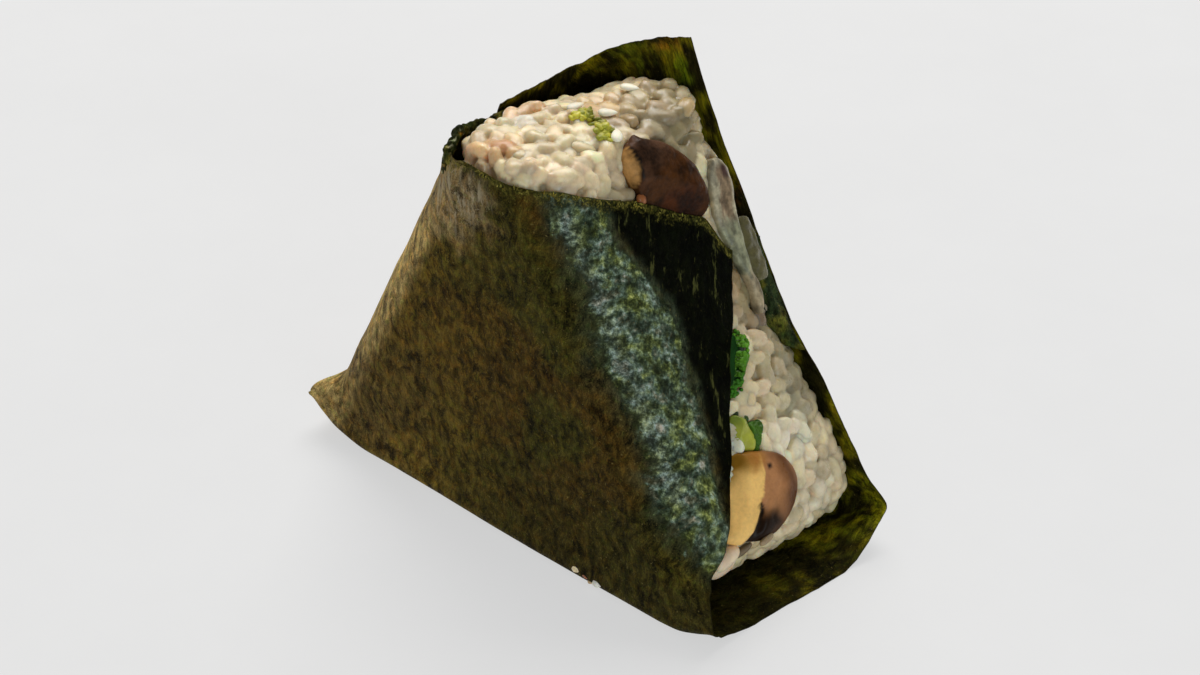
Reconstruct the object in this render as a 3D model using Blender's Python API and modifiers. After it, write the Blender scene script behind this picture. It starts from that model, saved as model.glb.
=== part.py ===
"""Vegetable onigiri: a rice triangle stood on edge, with vegetables pressed into it,
held in one strip of nori that runs up the front, under the base and up the back.

X runs across the triangle, Y from the front panel to the back panel, Z up.
The base of the nori lies on Z = 0 and the box of the whole is centred on X and Y.
"""
import math

import bmesh
import bpy
import numpy as np
from mathutils import Matrix, Vector

# Driving dimensions, metres
MM = 0.001
DEPTH = 43.0 * MM
STRIP_WIDTH = 95.0 * MM
BODY_ROUND = 9.0 * MM
BODY_TOP = 74.5 * MM
BODY_BOTTOM = 0.9 * MM
CROWN = 71.6 * MM
CROWN_BOW = 12.0
FRONT_FACE = 1.2 * MM
BACK_FACE = DEPTH - 0.7 * MM
HALF_BASE = 49.6 * MM
HALF_BASE_LEFT = 48.2 * MM
LEAN_RIGHT = math.radians(30.0)
LEAN_LEFT = math.radians(27.0)
BACK_RIDGE_SQUARE = 4.2 * MM
CENTRE = (1.07 * MM, 21.75 * MM)

# Nori strip
NORI_THICK = 0.6 * MM
NORI_GAP = 0.35 * MM
FOLD_ROUND = 3.0 * MM
FRONT_LENGTH = 69.0 * MM
BACK_CORNER = 79.3 * MM
RIM_AT_RIDGE = 77.7 * MM
RIM_FALL = 0.80
FLAP_LAP = 1.1 * MM
FLAP_END = 16.0 * MM
WAVE = 0.22 * MM
SHEET_COLUMNS = 24
FRONT_ROWS = 13
FOLD_ROWS = 3
BASE_ROWS = 4
BACK_ROWS = 14
BASE_FLAT = 0.05 * MM
CLEARANCE = 0.3 * MM
EDGE_CLEARANCE = 0.007
MERGE_STEPS = (0.00003, 0.00001, 0.000001)

# Right edge of the back panel: height and how far it stands off the rice's slope
EDGE_HEIGHT = (0.006, 0.014, 0.022, 0.040, 0.055, 0.070, 0.0793)
EDGE_SLACK = (0.0020, 0.0005, -0.0005, -0.0020, -0.0030, -0.0015, 0.0)

# Turned-up corners of the strip: X, Y, lift, reach in X and in Y
TURNED_CORNERS = (
    (-0.0475, 0.0010, 0.0030, 0.013, 0.015),
    (0.0475, 0.0010, 0.0018, 0.008, 0.010),
    (0.0495, 0.0425, 0.0046, 0.012, 0.011),
    (-0.0475, 0.0425, 0.0028, 0.012, 0.012),
)

# Rice
CORE_INSET = 0.5 * MM
RING_TURNS = (14.0, 40.0, 66.0, 90.0)
GRAIN_COUNT = 145
GRAIN_HALF = (2.9 * MM, 1.7 * MM, 1.5 * MM)
GRAIN_SPACING = 4.0 * MM
GRAIN_SINK = 0.45 * MM
GRAIN_SEED = 11

# Sesame seeds on the top, and the large clump low on the right: place and turn
SEED_HALF = (1.6 * MM, 0.85 * MM, 0.65 * MM)
SEED_RISE = 0.65 * MM
SESAME = (
    (0.0023, 0.0250, 0.0716, 0.8),
    (0.0075, 0.0213, 0.0703, 2.3),
    (-0.0008, 0.0338, 0.0716, 0.5),
    (-0.0031, 0.0233, 0.0716, 1.4),
)
LUMP_HALF = (3.1 * MM, 2.3 * MM, 2.0 * MM)
LUMP_SINK = 0.7 * MM
LUMPS = ((0.0422, 0.0098, 0.0100, 1.2),)

# Fillings: places on the body, half sizes along, across and outward, and how deep they sit
MUSHROOM_TOP = (0.0139, 0.0274, 0.0614)
MUSHROOM_TOP_HALF = (8.2 * MM, 7.9 * MM, 4.2 * MM)
MUSHROOM_TOP_SINK = 1.4 * MM
MUSHROOM_LOW = (0.0402, 0.0207, 0.0160)
MUSHROOM_LOW_HALF = (8.5 * MM, 7.9 * MM, 4.4 * MM)
MUSHROOM_LOW_SINK = 1.5 * MM
FLORET = (0.0296, 0.0262, 0.0347)
FLORET_SPREAD = (4.5 * MM, 4.5 * MM, 7.8 * MM)
FLORET_LUMPS = 10
FLORET_LUMP_RADIUS = (1.6 * MM, 2.1 * MM)
FLORET_SEED = 5
STEM = (0.0349, 0.0223, 0.0256)
STEM_HALF = (4.1 * MM, 2.5 * MM, 2.3 * MM)
STEM_LEAF = (0.0357, 0.0252, 0.0246)
STEM_LEAF_HALF = (3.2 * MM, 1.3 * MM, 1.8 * MM)
GREENS = (0.0224, 0.0392, 0.0469)
GREENS_HALF = (5.6 * MM, 1.9 * MM, 1.8 * MM)

# Slice of mushroom stalk along the back right ridge: place and half width, top to bottom
STRIP_PATH = (
    (0.0140, 0.0384, 0.0612, 0.0021),
    (0.0165, 0.0376, 0.0572, 0.0020),
    (0.0196, 0.0366, 0.0520, 0.0016),
    (0.0232, 0.0360, 0.0458, 0.0013),
    (0.0263, 0.0357, 0.0403, 0.0008),
)
STRIP_HALF_THICK = 1.1 * MM
STRIP_STATIONS = 9
STRIP_SIDES = 10
STRIP_END_TAPER = 0.62

# Where two fillings touch: the one that gives way, and the one it lies against
TRIMMED_BY = (("greens_slice", "mushroom_strip"), ("broccoli_stem", "mushroom_lower"))

# Base colour and roughness of each part
FINISHES = {
    "nori_wrap": ((0.045, 0.050, 0.028), 0.55),
    "rice": ((0.84, 0.80, 0.72), 0.45),
    "mushroom_top": ((0.13, 0.055, 0.035), 0.35),
    "mushroom_lower": ((0.60, 0.38, 0.20), 0.40),
    "broccoli_floret": ((0.16, 0.36, 0.05), 0.50),
    "broccoli_stem": ((0.45, 0.52, 0.16), 0.40),
    "mushroom_strip": ((0.62, 0.56, 0.48), 0.45),
    "greens_slice": ((0.26, 0.27, 0.17), 0.40),
}

# Worked out from the above
NORMAL_RIGHT = np.array([math.cos(LEAN_RIGHT), math.sin(LEAN_RIGHT)])
NORMAL_LEFT = np.array([-math.cos(LEAN_LEFT), math.sin(LEAN_LEFT)])
REACH_RIGHT = HALF_BASE * math.cos(LEAN_RIGHT)
REACH_LEFT = HALF_BASE_LEFT * math.cos(LEAN_LEFT)


def smooth(low, high, value):
    """Smooth step from 0 at low to 1 at high."""
    t = min(1.0, max(0.0, (value - low) / (high - low)))
    return t * t * (3.0 - 2.0 * t)


def meet(n1, d1, n2, d2):
    """Crossing point of two lines n.p = d in the X-Z plane."""
    return np.linalg.solve(np.array([n1, n2]), np.array([d1, d2]))


UP = np.array([0.0, 1.0])
LOW = BODY_BOTTOM + BODY_ROUND
HIGH = BODY_TOP - BODY_ROUND
SKELETON = (
    meet(NORMAL_LEFT, REACH_LEFT - BODY_ROUND, UP, LOW),
    meet(NORMAL_RIGHT, REACH_RIGHT - BODY_ROUND, UP, LOW),
    meet(NORMAL_RIGHT, REACH_RIGHT - BODY_ROUND, UP, HIGH),
    meet(NORMAL_LEFT, REACH_LEFT - BODY_ROUND, UP, HIGH),
)


def skeleton_point(p):
    """Nearest point of the flat-faced prism that the rounded body is grown from."""
    q = np.array([p[0], p[2]])
    inside = LOW <= q[1] <= HIGH
    inside = inside and NORMAL_RIGHT @ q <= REACH_RIGHT - BODY_ROUND
    inside = inside and NORMAL_LEFT @ q <= REACH_LEFT - BODY_ROUND
    if not inside:
        found = []
        for i in range(4):
            a = SKELETON[i]
            b = SKELETON[(i + 1) % 4]
            t = min(1.0, max(0.0, (q - a) @ (b - a) / ((b - a) @ (b - a))))
            c = a + t * (b - a)
            found.append((float(np.hypot(*(q - c))), tuple(c)))
        q = min(found)[1]
    back = BACK_FACE - BODY_ROUND + BACK_RIDGE_SQUARE * smooth(-0.008, 0.008, p[0])
    y = min(max(p[1], FRONT_FACE + BODY_ROUND), back)
    return np.array([q[0], y, q[1]])


def crown(x):
    """Height of the rice's top across the apex."""
    return CROWN - CROWN_BOW * (x + 0.002) ** 2


def body_distance(p):
    """Distance of a point outside the rice body, below zero inside it."""
    away = np.linalg.norm(p - skeleton_point(p)) - BODY_ROUND
    return max(away, p[1] - BACK_FACE, p[2] - crown(p[0]))


def body_point(direction):
    """Point of the body's surface straight out from its middle."""
    middle = np.array([-0.001, 0.0215, 0.030])
    near = 0.0
    far = 0.080
    for _ in range(26):
        half = 0.5 * (near + far)
        if body_distance(middle + direction * half) > 0.0:
            far = half
        else:
            near = half
    return middle + direction * near


def body_normal(p):
    """Outward direction of the body's surface."""
    h = 1e-5
    g = np.zeros(3)
    for k in range(3):
        step = np.zeros(3)
        step[k] = h
        g[k] = body_distance(p + step) - body_distance(p - step)
    return g / np.linalg.norm(g)


def wave(u, v):
    """Soft unevenness of the nori between 0 and 1."""
    w = math.sin(11.0 * u + 5.0 * v + 0.6) * math.sin(13.0 * v - 4.0 * u + 1.1)
    w += 0.6 * math.sin(23.0 * u - 9.0 * v + 2.0) * math.sin(7.0 * u + 19.0 * v)
    return 0.5 + w / 3.2


def ragged(t, phase):
    """Unevenness of a torn edge, about one unit each way."""
    return math.sin(17.0 * t + phase) * 0.6 + math.sin(41.0 * t + 2.3 * phase) * 0.4


def turned_up(x, y, z):
    """How far a point near a corner of the base is turned up."""
    rise = 0.0
    for cx, cy, lift, rx, ry in TURNED_CORNERS:
        fx = 1.0 - smooth(0.0, rx, abs(x - cx))
        fy = 1.0 - smooth(0.0, ry, abs(y - cy))
        rise += lift * fx * fy
    return rise * (1.0 - smooth(0.0, 0.014, z))


def left_end(height):
    """X of the strip's left edge, which is drawn in a little at the front fold."""
    return -0.5 * STRIP_WIDTH + 0.9 * MM * (1.0 - smooth(0.004, 0.014, height))


def front_point(u, q, out):
    """Front panel and the flaps that it sends round both slanted sides."""
    right = 0.5 * STRIP_WIDTH - 1.7 * MM * smooth(0.0, 0.015, q)
    right += 0.35 * MM * ragged(q / FRONT_LENGTH, 0.7) * smooth(0.005, 0.012, q)
    left = left_end(q)
    p = left + u * (right - left)
    start = FOLD_ROUND + NORI_THICK
    r = BODY_ROUND + out
    y_axis = FRONT_FACE + BODY_ROUND
    sides = (
        (NORMAL_RIGHT, REACH_RIGHT, 1.0, smooth(start, 0.032, q)),
        (NORMAL_LEFT, REACH_LEFT, -1.0, smooth(start, 0.016, q)),
    )
    for n, reach, sign, bent in sides:
        s = float(n @ np.array([p, q])) - (reach - BODY_ROUND)
        if s > 0.0 and p * sign > -0.003:
            foot = np.array([p, q]) - n * s
            s2 = s * bent
            arc = 0.5 * math.pi * r
            if s2 < arc:
                f = foot + n * (r * math.sin(s2 / r) + s - s2)
                y = y_axis - r * math.cos(s2 / r)
            else:
                f = foot + n * (r + s - s2)
                y = y_axis + s2 - arc
            return np.array([f[0], y, f[1]])
    return np.array([p, y_axis - r, q])


def right_edge(z):
    """X of the back panel's right edge at a height."""
    e = float(np.interp(z, EDGE_HEIGHT, EDGE_SLACK))
    return min(0.0496, (REACH_RIGHT + e - NORMAL_RIGHT[1] * z) / NORMAL_RIGHT[0])


def ridge_foot(z):
    """X of the line where the back panel starts round the left slope."""
    return -(REACH_LEFT - BODY_ROUND - NORMAL_LEFT[1] * z) / abs(NORMAL_LEFT[0])


def back_point(u, t, out):
    """Back panel, and its flap that closes the left slope over the front one."""
    low = FOLD_ROUND + NORI_THICK
    z_right = low + t * (BACK_CORNER - low)
    z_ridge = low + t * (RIM_AT_RIDGE - low)
    x_right = right_edge(z_right)
    flat = x_right - ridge_foot(z_ridge)
    r = BODY_ROUND + out
    arc = 0.5 * math.pi * r
    y_axis = BACK_FACE - BODY_ROUND
    wrapped = smooth(0.05, 0.42, t)
    end = ridge_foot(low) + 0.5 * STRIP_WIDTH
    end += wrapped * (arc + y_axis - FLAP_END - end)
    end += 0.6 * MM * ragged(t, 2.1) * wrapped
    run = (1.0 - u) * (flat + end)
    if run <= flat:
        z = z_right + (z_ridge - z_right) * run / flat
        return np.array([x_right - run, y_axis + r, z])
    s = run - flat
    rim = RIM_AT_RIDGE - RIM_FALL * min(s, 14.1 * MM) - 0.05 * max(0.0, s - 14.1 * MM)
    z_foot = low + t * (rim - low)
    lap = FLAP_LAP * smooth(0.0, 0.011, s)
    r += lap
    arc = 0.5 * math.pi * r
    s2 = s * smooth(low, 0.013, z_foot)
    if s2 < arc:
        radial = r * math.sin(s2 / r)
        y = y_axis + r * math.cos(s2 / r) - lap * (1.0 - smooth(0.0, 0.006, s2))
    else:
        radial = r
        y = y_axis - (s2 - arc)
    x = ridge_foot(z_foot) + NORMAL_LEFT[0] * radial - (s - s2)
    return np.array([x, y, z_foot + NORMAL_LEFT[1] * radial])


def sheet_rows():
    """Stations along the strip, from the front top edge to the back rim."""
    rows = []
    for i in range(FRONT_ROWS):
        rows.append(("front", 1.0 - i / FRONT_ROWS))
    for i in range(FOLD_ROWS + 1):
        rows.append(("front_fold", i / (FOLD_ROWS + 1)))
    for i in range(BASE_ROWS):
        rows.append(("base", i / BASE_ROWS))
    for i in range(FOLD_ROWS + 1):
        rows.append(("back_fold", i / (FOLD_ROWS + 1)))
    for i in range(BACK_ROWS + 1):
        rows.append(("back", i / BACK_ROWS))
    return rows


def sheet_point(u, part, t, out):
    """Point on the nori's inner face, moved outward by out."""
    gap = NORI_GAP + out
    low = FOLD_ROUND + NORI_THICK
    y_front = FRONT_FACE - gap
    y_back = BACK_FACE + gap
    round_ = FOLD_ROUND + out
    if part == "front":
        top = FRONT_LENGTH + 0.5 * MM * ragged(u, 0.4)
        top += 6.5 * MM * (1.0 - smooth(0.16, 0.44, u))
        top += 0.9 * MM * ragged(u * 3.0, 1.9) * (1.0 - smooth(0.36, 0.46, u))
        top -= 4.2 * MM * smooth(0.93, 1.0, u)
        q = low + t * (top - low)
        swell = WAVE * wave(u, 0.4 * t) * smooth(0.0, 0.12, t)
        loose = smooth(0.25, 0.31, u) * (1.0 - smooth(0.38, 0.47, u)) * smooth(0.86, 1.0, t)
        swell += 1.3 * MM * loose * (0.7 + 0.5 * ragged(2.0 * u, 0.3))
        point = front_point(u, q, gap + swell)
    elif part == "front_fold":
        a = 0.5 * math.pi * t
        left = left_end(0.0)
        x = left + u * (0.5 * STRIP_WIDTH - left)
        y = y_front + round_ - round_ * math.cos(a)
        point = np.array([x, y, low - round_ * math.sin(a)])
    elif part == "base":
        y = y_front + round_ + t * (y_back - y_front - 2.0 * round_)
        right = 0.5 * STRIP_WIDTH + 2.1 * MM * smooth(0.020, 0.040, y)
        left = left_end(0.4 * y)
        x = left + u * (right - left)
        point = np.array([x, y, NORI_THICK - out])
    elif part == "back_fold":
        a = 0.5 * math.pi * t
        x = -0.5 * STRIP_WIDTH + u * (right_edge(low) + 0.5 * STRIP_WIDTH)
        y = y_back - round_ + round_ * math.sin(a)
        point = np.array([x, y, low - round_ * math.cos(a)])
    else:
        swell = WAVE * wave(u, 1.0 + 0.5 * t) * smooth(0.0, 0.1, t)
        point = back_point(u, t, gap + swell)
    point[2] += turned_up(point[0], point[1], point[2])
    return point


def link_to(collection, obj):
    """Put an object in one collection."""
    collection.objects.link(obj)
    return obj


def add_mesh(name, collection, verts, faces):
    """Mesh object from points in metres, moved to the centred frame."""
    mesh = bpy.data.meshes.new(name)
    moved = [(v[0] - CENTRE[0], v[1] - CENTRE[1], v[2]) for v in verts]
    mesh.from_pydata(moved, [], faces)
    mesh.update()
    return link_to(collection, bpy.data.objects.new(name, mesh))


def add_bmesh(name, collection, bm):
    """Mesh object from a bmesh that is already in the centred frame."""
    mesh = bpy.data.meshes.new(name)
    bm.to_mesh(mesh)
    bm.free()
    return link_to(collection, bpy.data.objects.new(name, mesh))


def to_centred(p):
    """Body point to the centred frame."""
    return Vector((p[0] - CENTRE[0], p[1] - CENTRE[1], p[2]))


def settle(obj):
    """Replace an object's modifiers by the mesh that they make."""
    graph = bpy.context.evaluated_depsgraph_get()
    mesh = bpy.data.meshes.new_from_object(obj.evaluated_get(graph))
    obj.modifiers.clear()
    obj.data = mesh
    return obj


def boolean(obj, operation, solver, target=None, group=None):
    """One Boolean with an object or with a whole collection, then settled."""
    mod = obj.modifiers.new(operation.lower(), "BOOLEAN")
    mod.operation = operation
    mod.solver = solver
    if group is not None:
        mod.operand_type = "COLLECTION"
        mod.collection = group
    else:
        mod.operand_type = "OBJECT"
        mod.object = target
    return settle(obj)


def shells_of(bm):
    """Groups of faces joined edge to edge, the largest last."""
    left = set(bm.faces)
    shells = []
    while left:
        start = left.pop()
        shell = {start}
        front = [start]
        while front:
            face = front.pop()
            for e in face.edges:
                for other in e.link_faces:
                    if other in left:
                        left.discard(other)
                        shell.add(other)
                        front.append(other)
        shells.append(shell)
    shells.sort(key=len)
    return shells


def split_faces(bm):
    """Triangulate, poking any face whose diagonal would double an edge."""
    pairs = set()
    for _ in range(6):
        trial = bm.copy()
        trial.verts.index_update()
        poked = []
        for face in trial.faces:
            if len(face.verts) > 3:
                found = {v.index for v in face.verts}
                if any(a in found and b in found for a, b in pairs):
                    poked.append(face)
        bmesh.ops.poke(trial, faces=poked)
        bmesh.ops.triangulate(trial, faces=trial.faces)
        odd = [e for e in trial.edges if not e.is_manifold]
        if not odd:
            return trial
        pairs |= {(e.verts[0].index, e.verts[1].index) for e in odd}
        trial.free()
    return None


def largest_piece(obj):
    """Drop loose scraps and sealed hollows, keep the one large closed shell."""
    for merge in MERGE_STEPS:
        bm = bmesh.new()
        bm.from_mesh(obj.data)
        bmesh.ops.remove_doubles(bm, verts=bm.verts, dist=merge)
        bmesh.ops.dissolve_degenerate(bm, edges=bm.edges, dist=0.5 * merge)
        for shell in shells_of(bm)[:-1]:
            bmesh.ops.delete(bm, geom=list(shell), context="FACES")
        done = split_faces(bm)
        bm.free()
        if done is not None:
            done.to_mesh(obj.data)
            done.free()
            return obj
    return obj


def sheet_grid(parts, out, columns, over=0.0):
    """Points and faces of the named stations, carried past the free edges by over."""
    rows = [r for r in sheet_rows() if r[0] in parts]
    verts = []
    for part, t in rows:
        if part in ("front", "back") and t == 1.0:
            t = 1.0 + over
        for j in range(columns + 1):
            u = (1.0 + 2.0 * over) * j / columns - over
            verts.append(sheet_point(u, part, t, out))
    faces = []
    width = columns + 1
    for i in range(len(rows) - 1):
        for j in range(columns):
            a = i * width + j
            b = a + 1
            c = b + width
            d = a + width
            if (i + j) % 2:
                faces += [(a, c, b), (a, d, c)]
            else:
                faces += [(a, d, b), (b, d, c)]
    return verts, faces


def build_nori(collection):
    """The one strip of nori, thickened outward from the face that meets the rice."""
    parts = ("front", "front_fold", "base", "back_fold", "back")
    verts, faces = sheet_grid(parts, 0.0, SHEET_COLUMNS)
    obj = add_mesh("nori_wrap", collection, verts, faces)
    mod = obj.modifiers.new("thickness", "SOLIDIFY")
    mod.thickness = NORI_THICK
    mod.offset = 1.0
    mod.use_even_offset = True
    settle(obj)
    for v in obj.data.vertices:
        if v.co.z < BASE_FLAT:
            v.co.z = 0.0
    return largest_piece(obj)


def keep_out(name, collection, parts, thick):
    """Solid lying against a length of the strip, used to trim what it covers."""
    verts, faces = sheet_grid(parts, -CLEARANCE, SHEET_COLUMNS, EDGE_CLEARANCE)
    obj = add_mesh(name, collection, verts, faces)
    mod = obj.modifiers.new("thickness", "SOLIDIFY")
    mod.thickness = thick
    mod.offset = 1.0
    mod.use_even_offset = False
    obj.display_type = "WIRE"
    return settle(obj)


def frame_at(p, spin, tilt):
    """Axes lying on the body at a point: long, wide and outward, as a matrix."""
    n = Vector(body_normal(p))
    side = Vector((0.0, 1.0, 0.0))
    if abs(n.dot(side)) > 0.9:
        side = Vector((1.0, 0.0, 0.0))
    a = side.cross(n).normalized()
    turn = Matrix.Rotation(spin, 3, n)
    a = turn @ a
    b = n.cross(a).normalized()
    lean = Matrix.Rotation(tilt, 3, b)
    a = lean @ a
    n = lean @ n
    return Matrix((a, b, n)).transposed().to_4x4()


def add_grain(name, collection, p, half, sink, spin, tilt):
    """One grain as a small sphere stretched and laid on the rice."""
    bm = bmesh.new()
    bmesh.ops.create_icosphere(bm, subdivisions=1, radius=1.06)
    turn = Matrix.Rotation(spin * 3.0, 4, "X") @ Matrix.Rotation(0.5 * math.pi, 4, "Y")
    place = Matrix.Translation(to_centred(p - body_normal(p) * sink))
    size = Matrix.Diagonal((half[0], half[1], half[2], 1.0))
    bmesh.ops.transform(bm, matrix=place @ frame_at(p, spin, tilt) @ size @ turn, verts=bm.verts)
    return add_bmesh(name, collection, bm)


def bare_points(rng):
    """Well-spaced points of the rice that the nori leaves bare, the largest area first."""
    cover = []
    rim = []
    stations = [("front", i / 34.0) for i in range(35)]
    stations += [("back", i / 40.0) for i in range(41)]
    stations += [("front_fold", 0.5), ("back_fold", 0.5)]
    for part, t in stations:
        for j in range(61):
            u = j / 60.0
            cover.append(sheet_point(u, part, t, 0.0))
            free = u < 0.01 or u > 0.99 or (part == "front" and t > 0.999)
            free = free or (part == "back" and t > 0.999)
            rim.append(free)
    cover = np.array(cover)
    rim = np.array(rim)
    picked = []
    for _ in range(9000):
        d = rng.normal(size=3)
        d /= np.linalg.norm(d)
        p = body_point(d)
        if p[2] < 3.2 * MM:
            continue
        away = np.linalg.norm(cover - p, axis=1)
        near = int(np.argmin(away))
        if away[near] < 2.2 * MM and not rim[near]:
            continue
        if p[1] > BACK_FACE - 1.6 * MM:
            continue
        if picked and np.min(np.linalg.norm(np.array(picked) - p, axis=1)) < GRAIN_SPACING:
            continue
        picked.append(p)
        if len(picked) >= GRAIN_COUNT:
            break
    return picked


def core_outline():
    """Corner points and outward turns round the body, seen from the front."""
    turns = (
        (0, 270.0, 153.0, 5),
        (3, 153.0, 90.0, 3),
        (2, 90.0, 30.0, 3),
        (1, 30.0, -90.0, 5),
    )
    found = []
    for corner, first, last, steps in turns:
        for i in range(steps + 1):
            a = math.radians(first + (last - first) * i / steps)
            found.append((SKELETON[corner], np.array([math.cos(a), math.sin(a)])))
    return found


def build_core(collection):
    """Rice core lofted through rings from the front face to the back face."""
    outline = core_outline()
    rings = []
    for turn in RING_TURNS:
        a = math.radians(turn)
        y = FRONT_FACE + BODY_ROUND * (1.0 - math.cos(a))
        rings.append([(q + n * BODY_ROUND * math.sin(a), y) for q, n in outline])
    for turn in RING_TURNS[::-1]:
        a = math.radians(turn)
        ring = []
        for q, n in outline:
            side = q + n * BODY_ROUND * math.sin(a)
            y = BACK_FACE - BODY_ROUND + BACK_RIDGE_SQUARE * smooth(-0.008, 0.008, side[0])
            ring.append((side, min(BACK_FACE, y + BODY_ROUND * math.cos(a))))
        rings.append(ring)
    verts = []
    for ring in rings:
        for side, y in ring:
            p = np.array([side[0], y, min(side[1], crown(side[0]) - 0.00001)])
            verts.append(p - body_normal(p) * CORE_INSET)
    count = len(outline)
    faces = [tuple(range(count)), tuple(range(len(verts) - 1, len(verts) - count - 1, -1))]
    for i in range(len(rings) - 1):
        for j in range(count):
            k = (j + 1) % count
            faces.append((i * count + j, (i + 1) * count + j, (i + 1) * count + k, i * count + k))
    obj = add_mesh("rice", collection, verts, faces)
    bm = bmesh.new()
    bm.from_mesh(obj.data)
    bmesh.ops.recalc_face_normals(bm, faces=bm.faces)
    bmesh.ops.triangulate(bm, faces=bm.faces)
    bm.to_mesh(obj.data)
    bm.free()
    return obj


def build_rice(collection, loose):
    """Core of the rice with the grains that show fused on."""
    core = build_core(collection)
    rng = np.random.default_rng(GRAIN_SEED)
    for i, p in enumerate(bare_points(rng)):
        scale = rng.uniform(0.88, 1.1)
        half = [h * scale * rng.uniform(0.94, 1.06) for h in GRAIN_HALF]
        spin = rng.uniform(0.0, math.pi)
        tilt = rng.uniform(-0.32, 0.32)
        add_grain("grain_%03d" % i, loose, p, half, GRAIN_SINK, spin, tilt)
    for i, (x, y, z, spin) in enumerate(SESAME):
        p = surface_near(x, y, z)
        add_grain("seed_%d" % i, loose, p, SEED_HALF, -SEED_RISE, spin, 0.1)
    for i, (x, y, z, spin) in enumerate(LUMPS):
        p = surface_near(x, y, z)
        add_grain("lump_%d" % i, loose, p, LUMP_HALF, LUMP_SINK, spin, 0.0)
    return core


def surface_near(x, y, z):
    """Body point nearest to a given place."""
    p = np.array([x, y, z])
    for _ in range(8):
        p = p - body_normal(p) * body_distance(p)
    return p


def blob(bm, place, half, sink, spin, grow, divisions, shape=None):
    """Add one rounded lump lying on the body to a bmesh."""
    made = bmesh.ops.create_icosphere(bm, subdivisions=divisions, radius=1.0)
    verts = made["verts"]
    if shape is not None:
        for v in verts:
            v.co = shape(v.co.copy())
    p = surface_near(*place)
    moved = Matrix.Translation(to_centred(p - body_normal(p) * sink))
    size = Matrix.Diagonal((half[0] + grow, half[1] + grow, half[2] + grow, 1.0))
    bmesh.ops.transform(bm, matrix=moved @ frame_at(p, spin, 0.0) @ size, verts=verts)


def cap_shape(co):
    """Mushroom cap: blunt dome with one end cut flat."""
    if co.y < -0.62:
        co.y = -0.62 + 0.25 * (co.y + 0.62)
    co.x *= 1.0 + 0.12 * co.y
    return co


def halved_shape(co):
    """Halved mushroom: round cap at the back, its cut flesh facing the front."""
    off = co.y - 0.12 + 0.85 * co.x
    if off < 0.0 and co.z > 0.0:
        co.z = min(co.z, 0.80 + 0.22 * off)
    if co.x > 0.4 and off < 0.0:
        co.y *= 1.0 - 0.35 * (co.x - 0.4)
    return co


def filling_parts(grow):
    """The pieces pressed into the rice, as lists of lumps, grown for their pockets."""
    pieces = {}

    bm = bmesh.new()
    blob(bm, MUSHROOM_TOP, MUSHROOM_TOP_HALF, MUSHROOM_TOP_SINK, 0.25, grow, 3, cap_shape)
    pieces["mushroom_top"] = [bm]

    bm = bmesh.new()
    blob(bm, MUSHROOM_LOW, MUSHROOM_LOW_HALF, MUSHROOM_LOW_SINK, 0.0, grow, 3, halved_shape)
    pieces["mushroom_lower"] = [bm]

    lumps = []
    rng = np.random.default_rng(FLORET_SEED)
    for i in range(FLORET_LUMPS):
        a = i / (FLORET_LUMPS - 1.0) - 0.5
        b = rng.uniform(-0.5, 0.5)
        x = FLORET[0] + FLORET_SPREAD[0] * a
        y = FLORET[1] + FLORET_SPREAD[1] * b
        z = FLORET[2] - FLORET_SPREAD[2] * a
        bm = bmesh.new()
        r = rng.uniform(*FLORET_LUMP_RADIUS)
        blob(bm, (x, y, z), (r, r, r), -0.2 * MM, 0.0, grow, 1)
        lumps.append(bm)
    pieces["broccoli_floret"] = lumps

    bm = bmesh.new()
    blob(bm, STEM, STEM_HALF, 0.6 * MM, 0.2, grow, 2)
    leaf = bmesh.new()
    blob(leaf, STEM_LEAF, STEM_LEAF_HALF, 0.2 * MM, 0.1, grow, 2)
    pieces["broccoli_stem"] = [bm, leaf]

    pieces["mushroom_strip"] = [strip_piece(grow)]

    bm = bmesh.new()
    blob(bm, GREENS, GREENS_HALF, 0.9 * MM, 0.05, grow, 2)
    pieces["greens_slice"] = [bm]
    return pieces


def strip_piece(grow):
    """Slice of mushroom stem laid along the back right ridge, thinning downward."""
    bm = bmesh.new()
    rings = []
    path = [surface_near(*row[:3]) for row in STRIP_PATH]
    half = [row[3] for row in STRIP_PATH]
    spans = len(path) - 1
    last = STRIP_STATIONS - 1
    for k in range(STRIP_STATIONS):
        f = k / last * spans
        i = min(int(f), spans - 1)
        w = f - i
        p = path[i] * (1.0 - w) + path[i + 1] * w
        along = Vector(path[i + 1] - path[i]).normalized()
        n = Vector(body_normal(p))
        side = along.cross(n).normalized()
        n = side.cross(along).normalized()
        size = half[i] * (1.0 - w) + half[i + 1] * w
        shift = 0.0
        if k in (0, last):
            size *= STRIP_END_TAPER
            shift = (0.5 * grow + 0.3 * MM) * (1.0 if k else -1.0)
        middle = to_centred(p) - n * 0.1 * MM + along * shift
        ring = []
        for j in range(STRIP_SIDES):
            a = 2.0 * math.pi * j / STRIP_SIDES
            offset = side * math.cos(a) * (size + grow)
            offset += n * math.sin(a) * (STRIP_HALF_THICK + grow)
            ring.append(bm.verts.new(middle + offset))
        rings.append(ring)
    for i in range(last):
        for j in range(STRIP_SIDES):
            k = (j + 1) % STRIP_SIDES
            bm.faces.new((rings[i][j], rings[i][k], rings[i + 1][k], rings[i + 1][j]))
    bm.faces.new(rings[0][::-1])
    bm.faces.new(rings[-1])
    bmesh.ops.recalc_face_normals(bm, faces=bm.faces)
    return bm


def new_collection(name, hidden=False):
    """Collection in the scene; a hidden one isn't rendered."""
    group = bpy.data.collections.new(name)
    bpy.context.scene.collection.children.link(group)
    group.hide_render = hidden
    return group


def remove_all(group):
    """Delete every object of a collection."""
    for obj in list(group.objects):
        bpy.data.objects.remove(obj)


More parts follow.
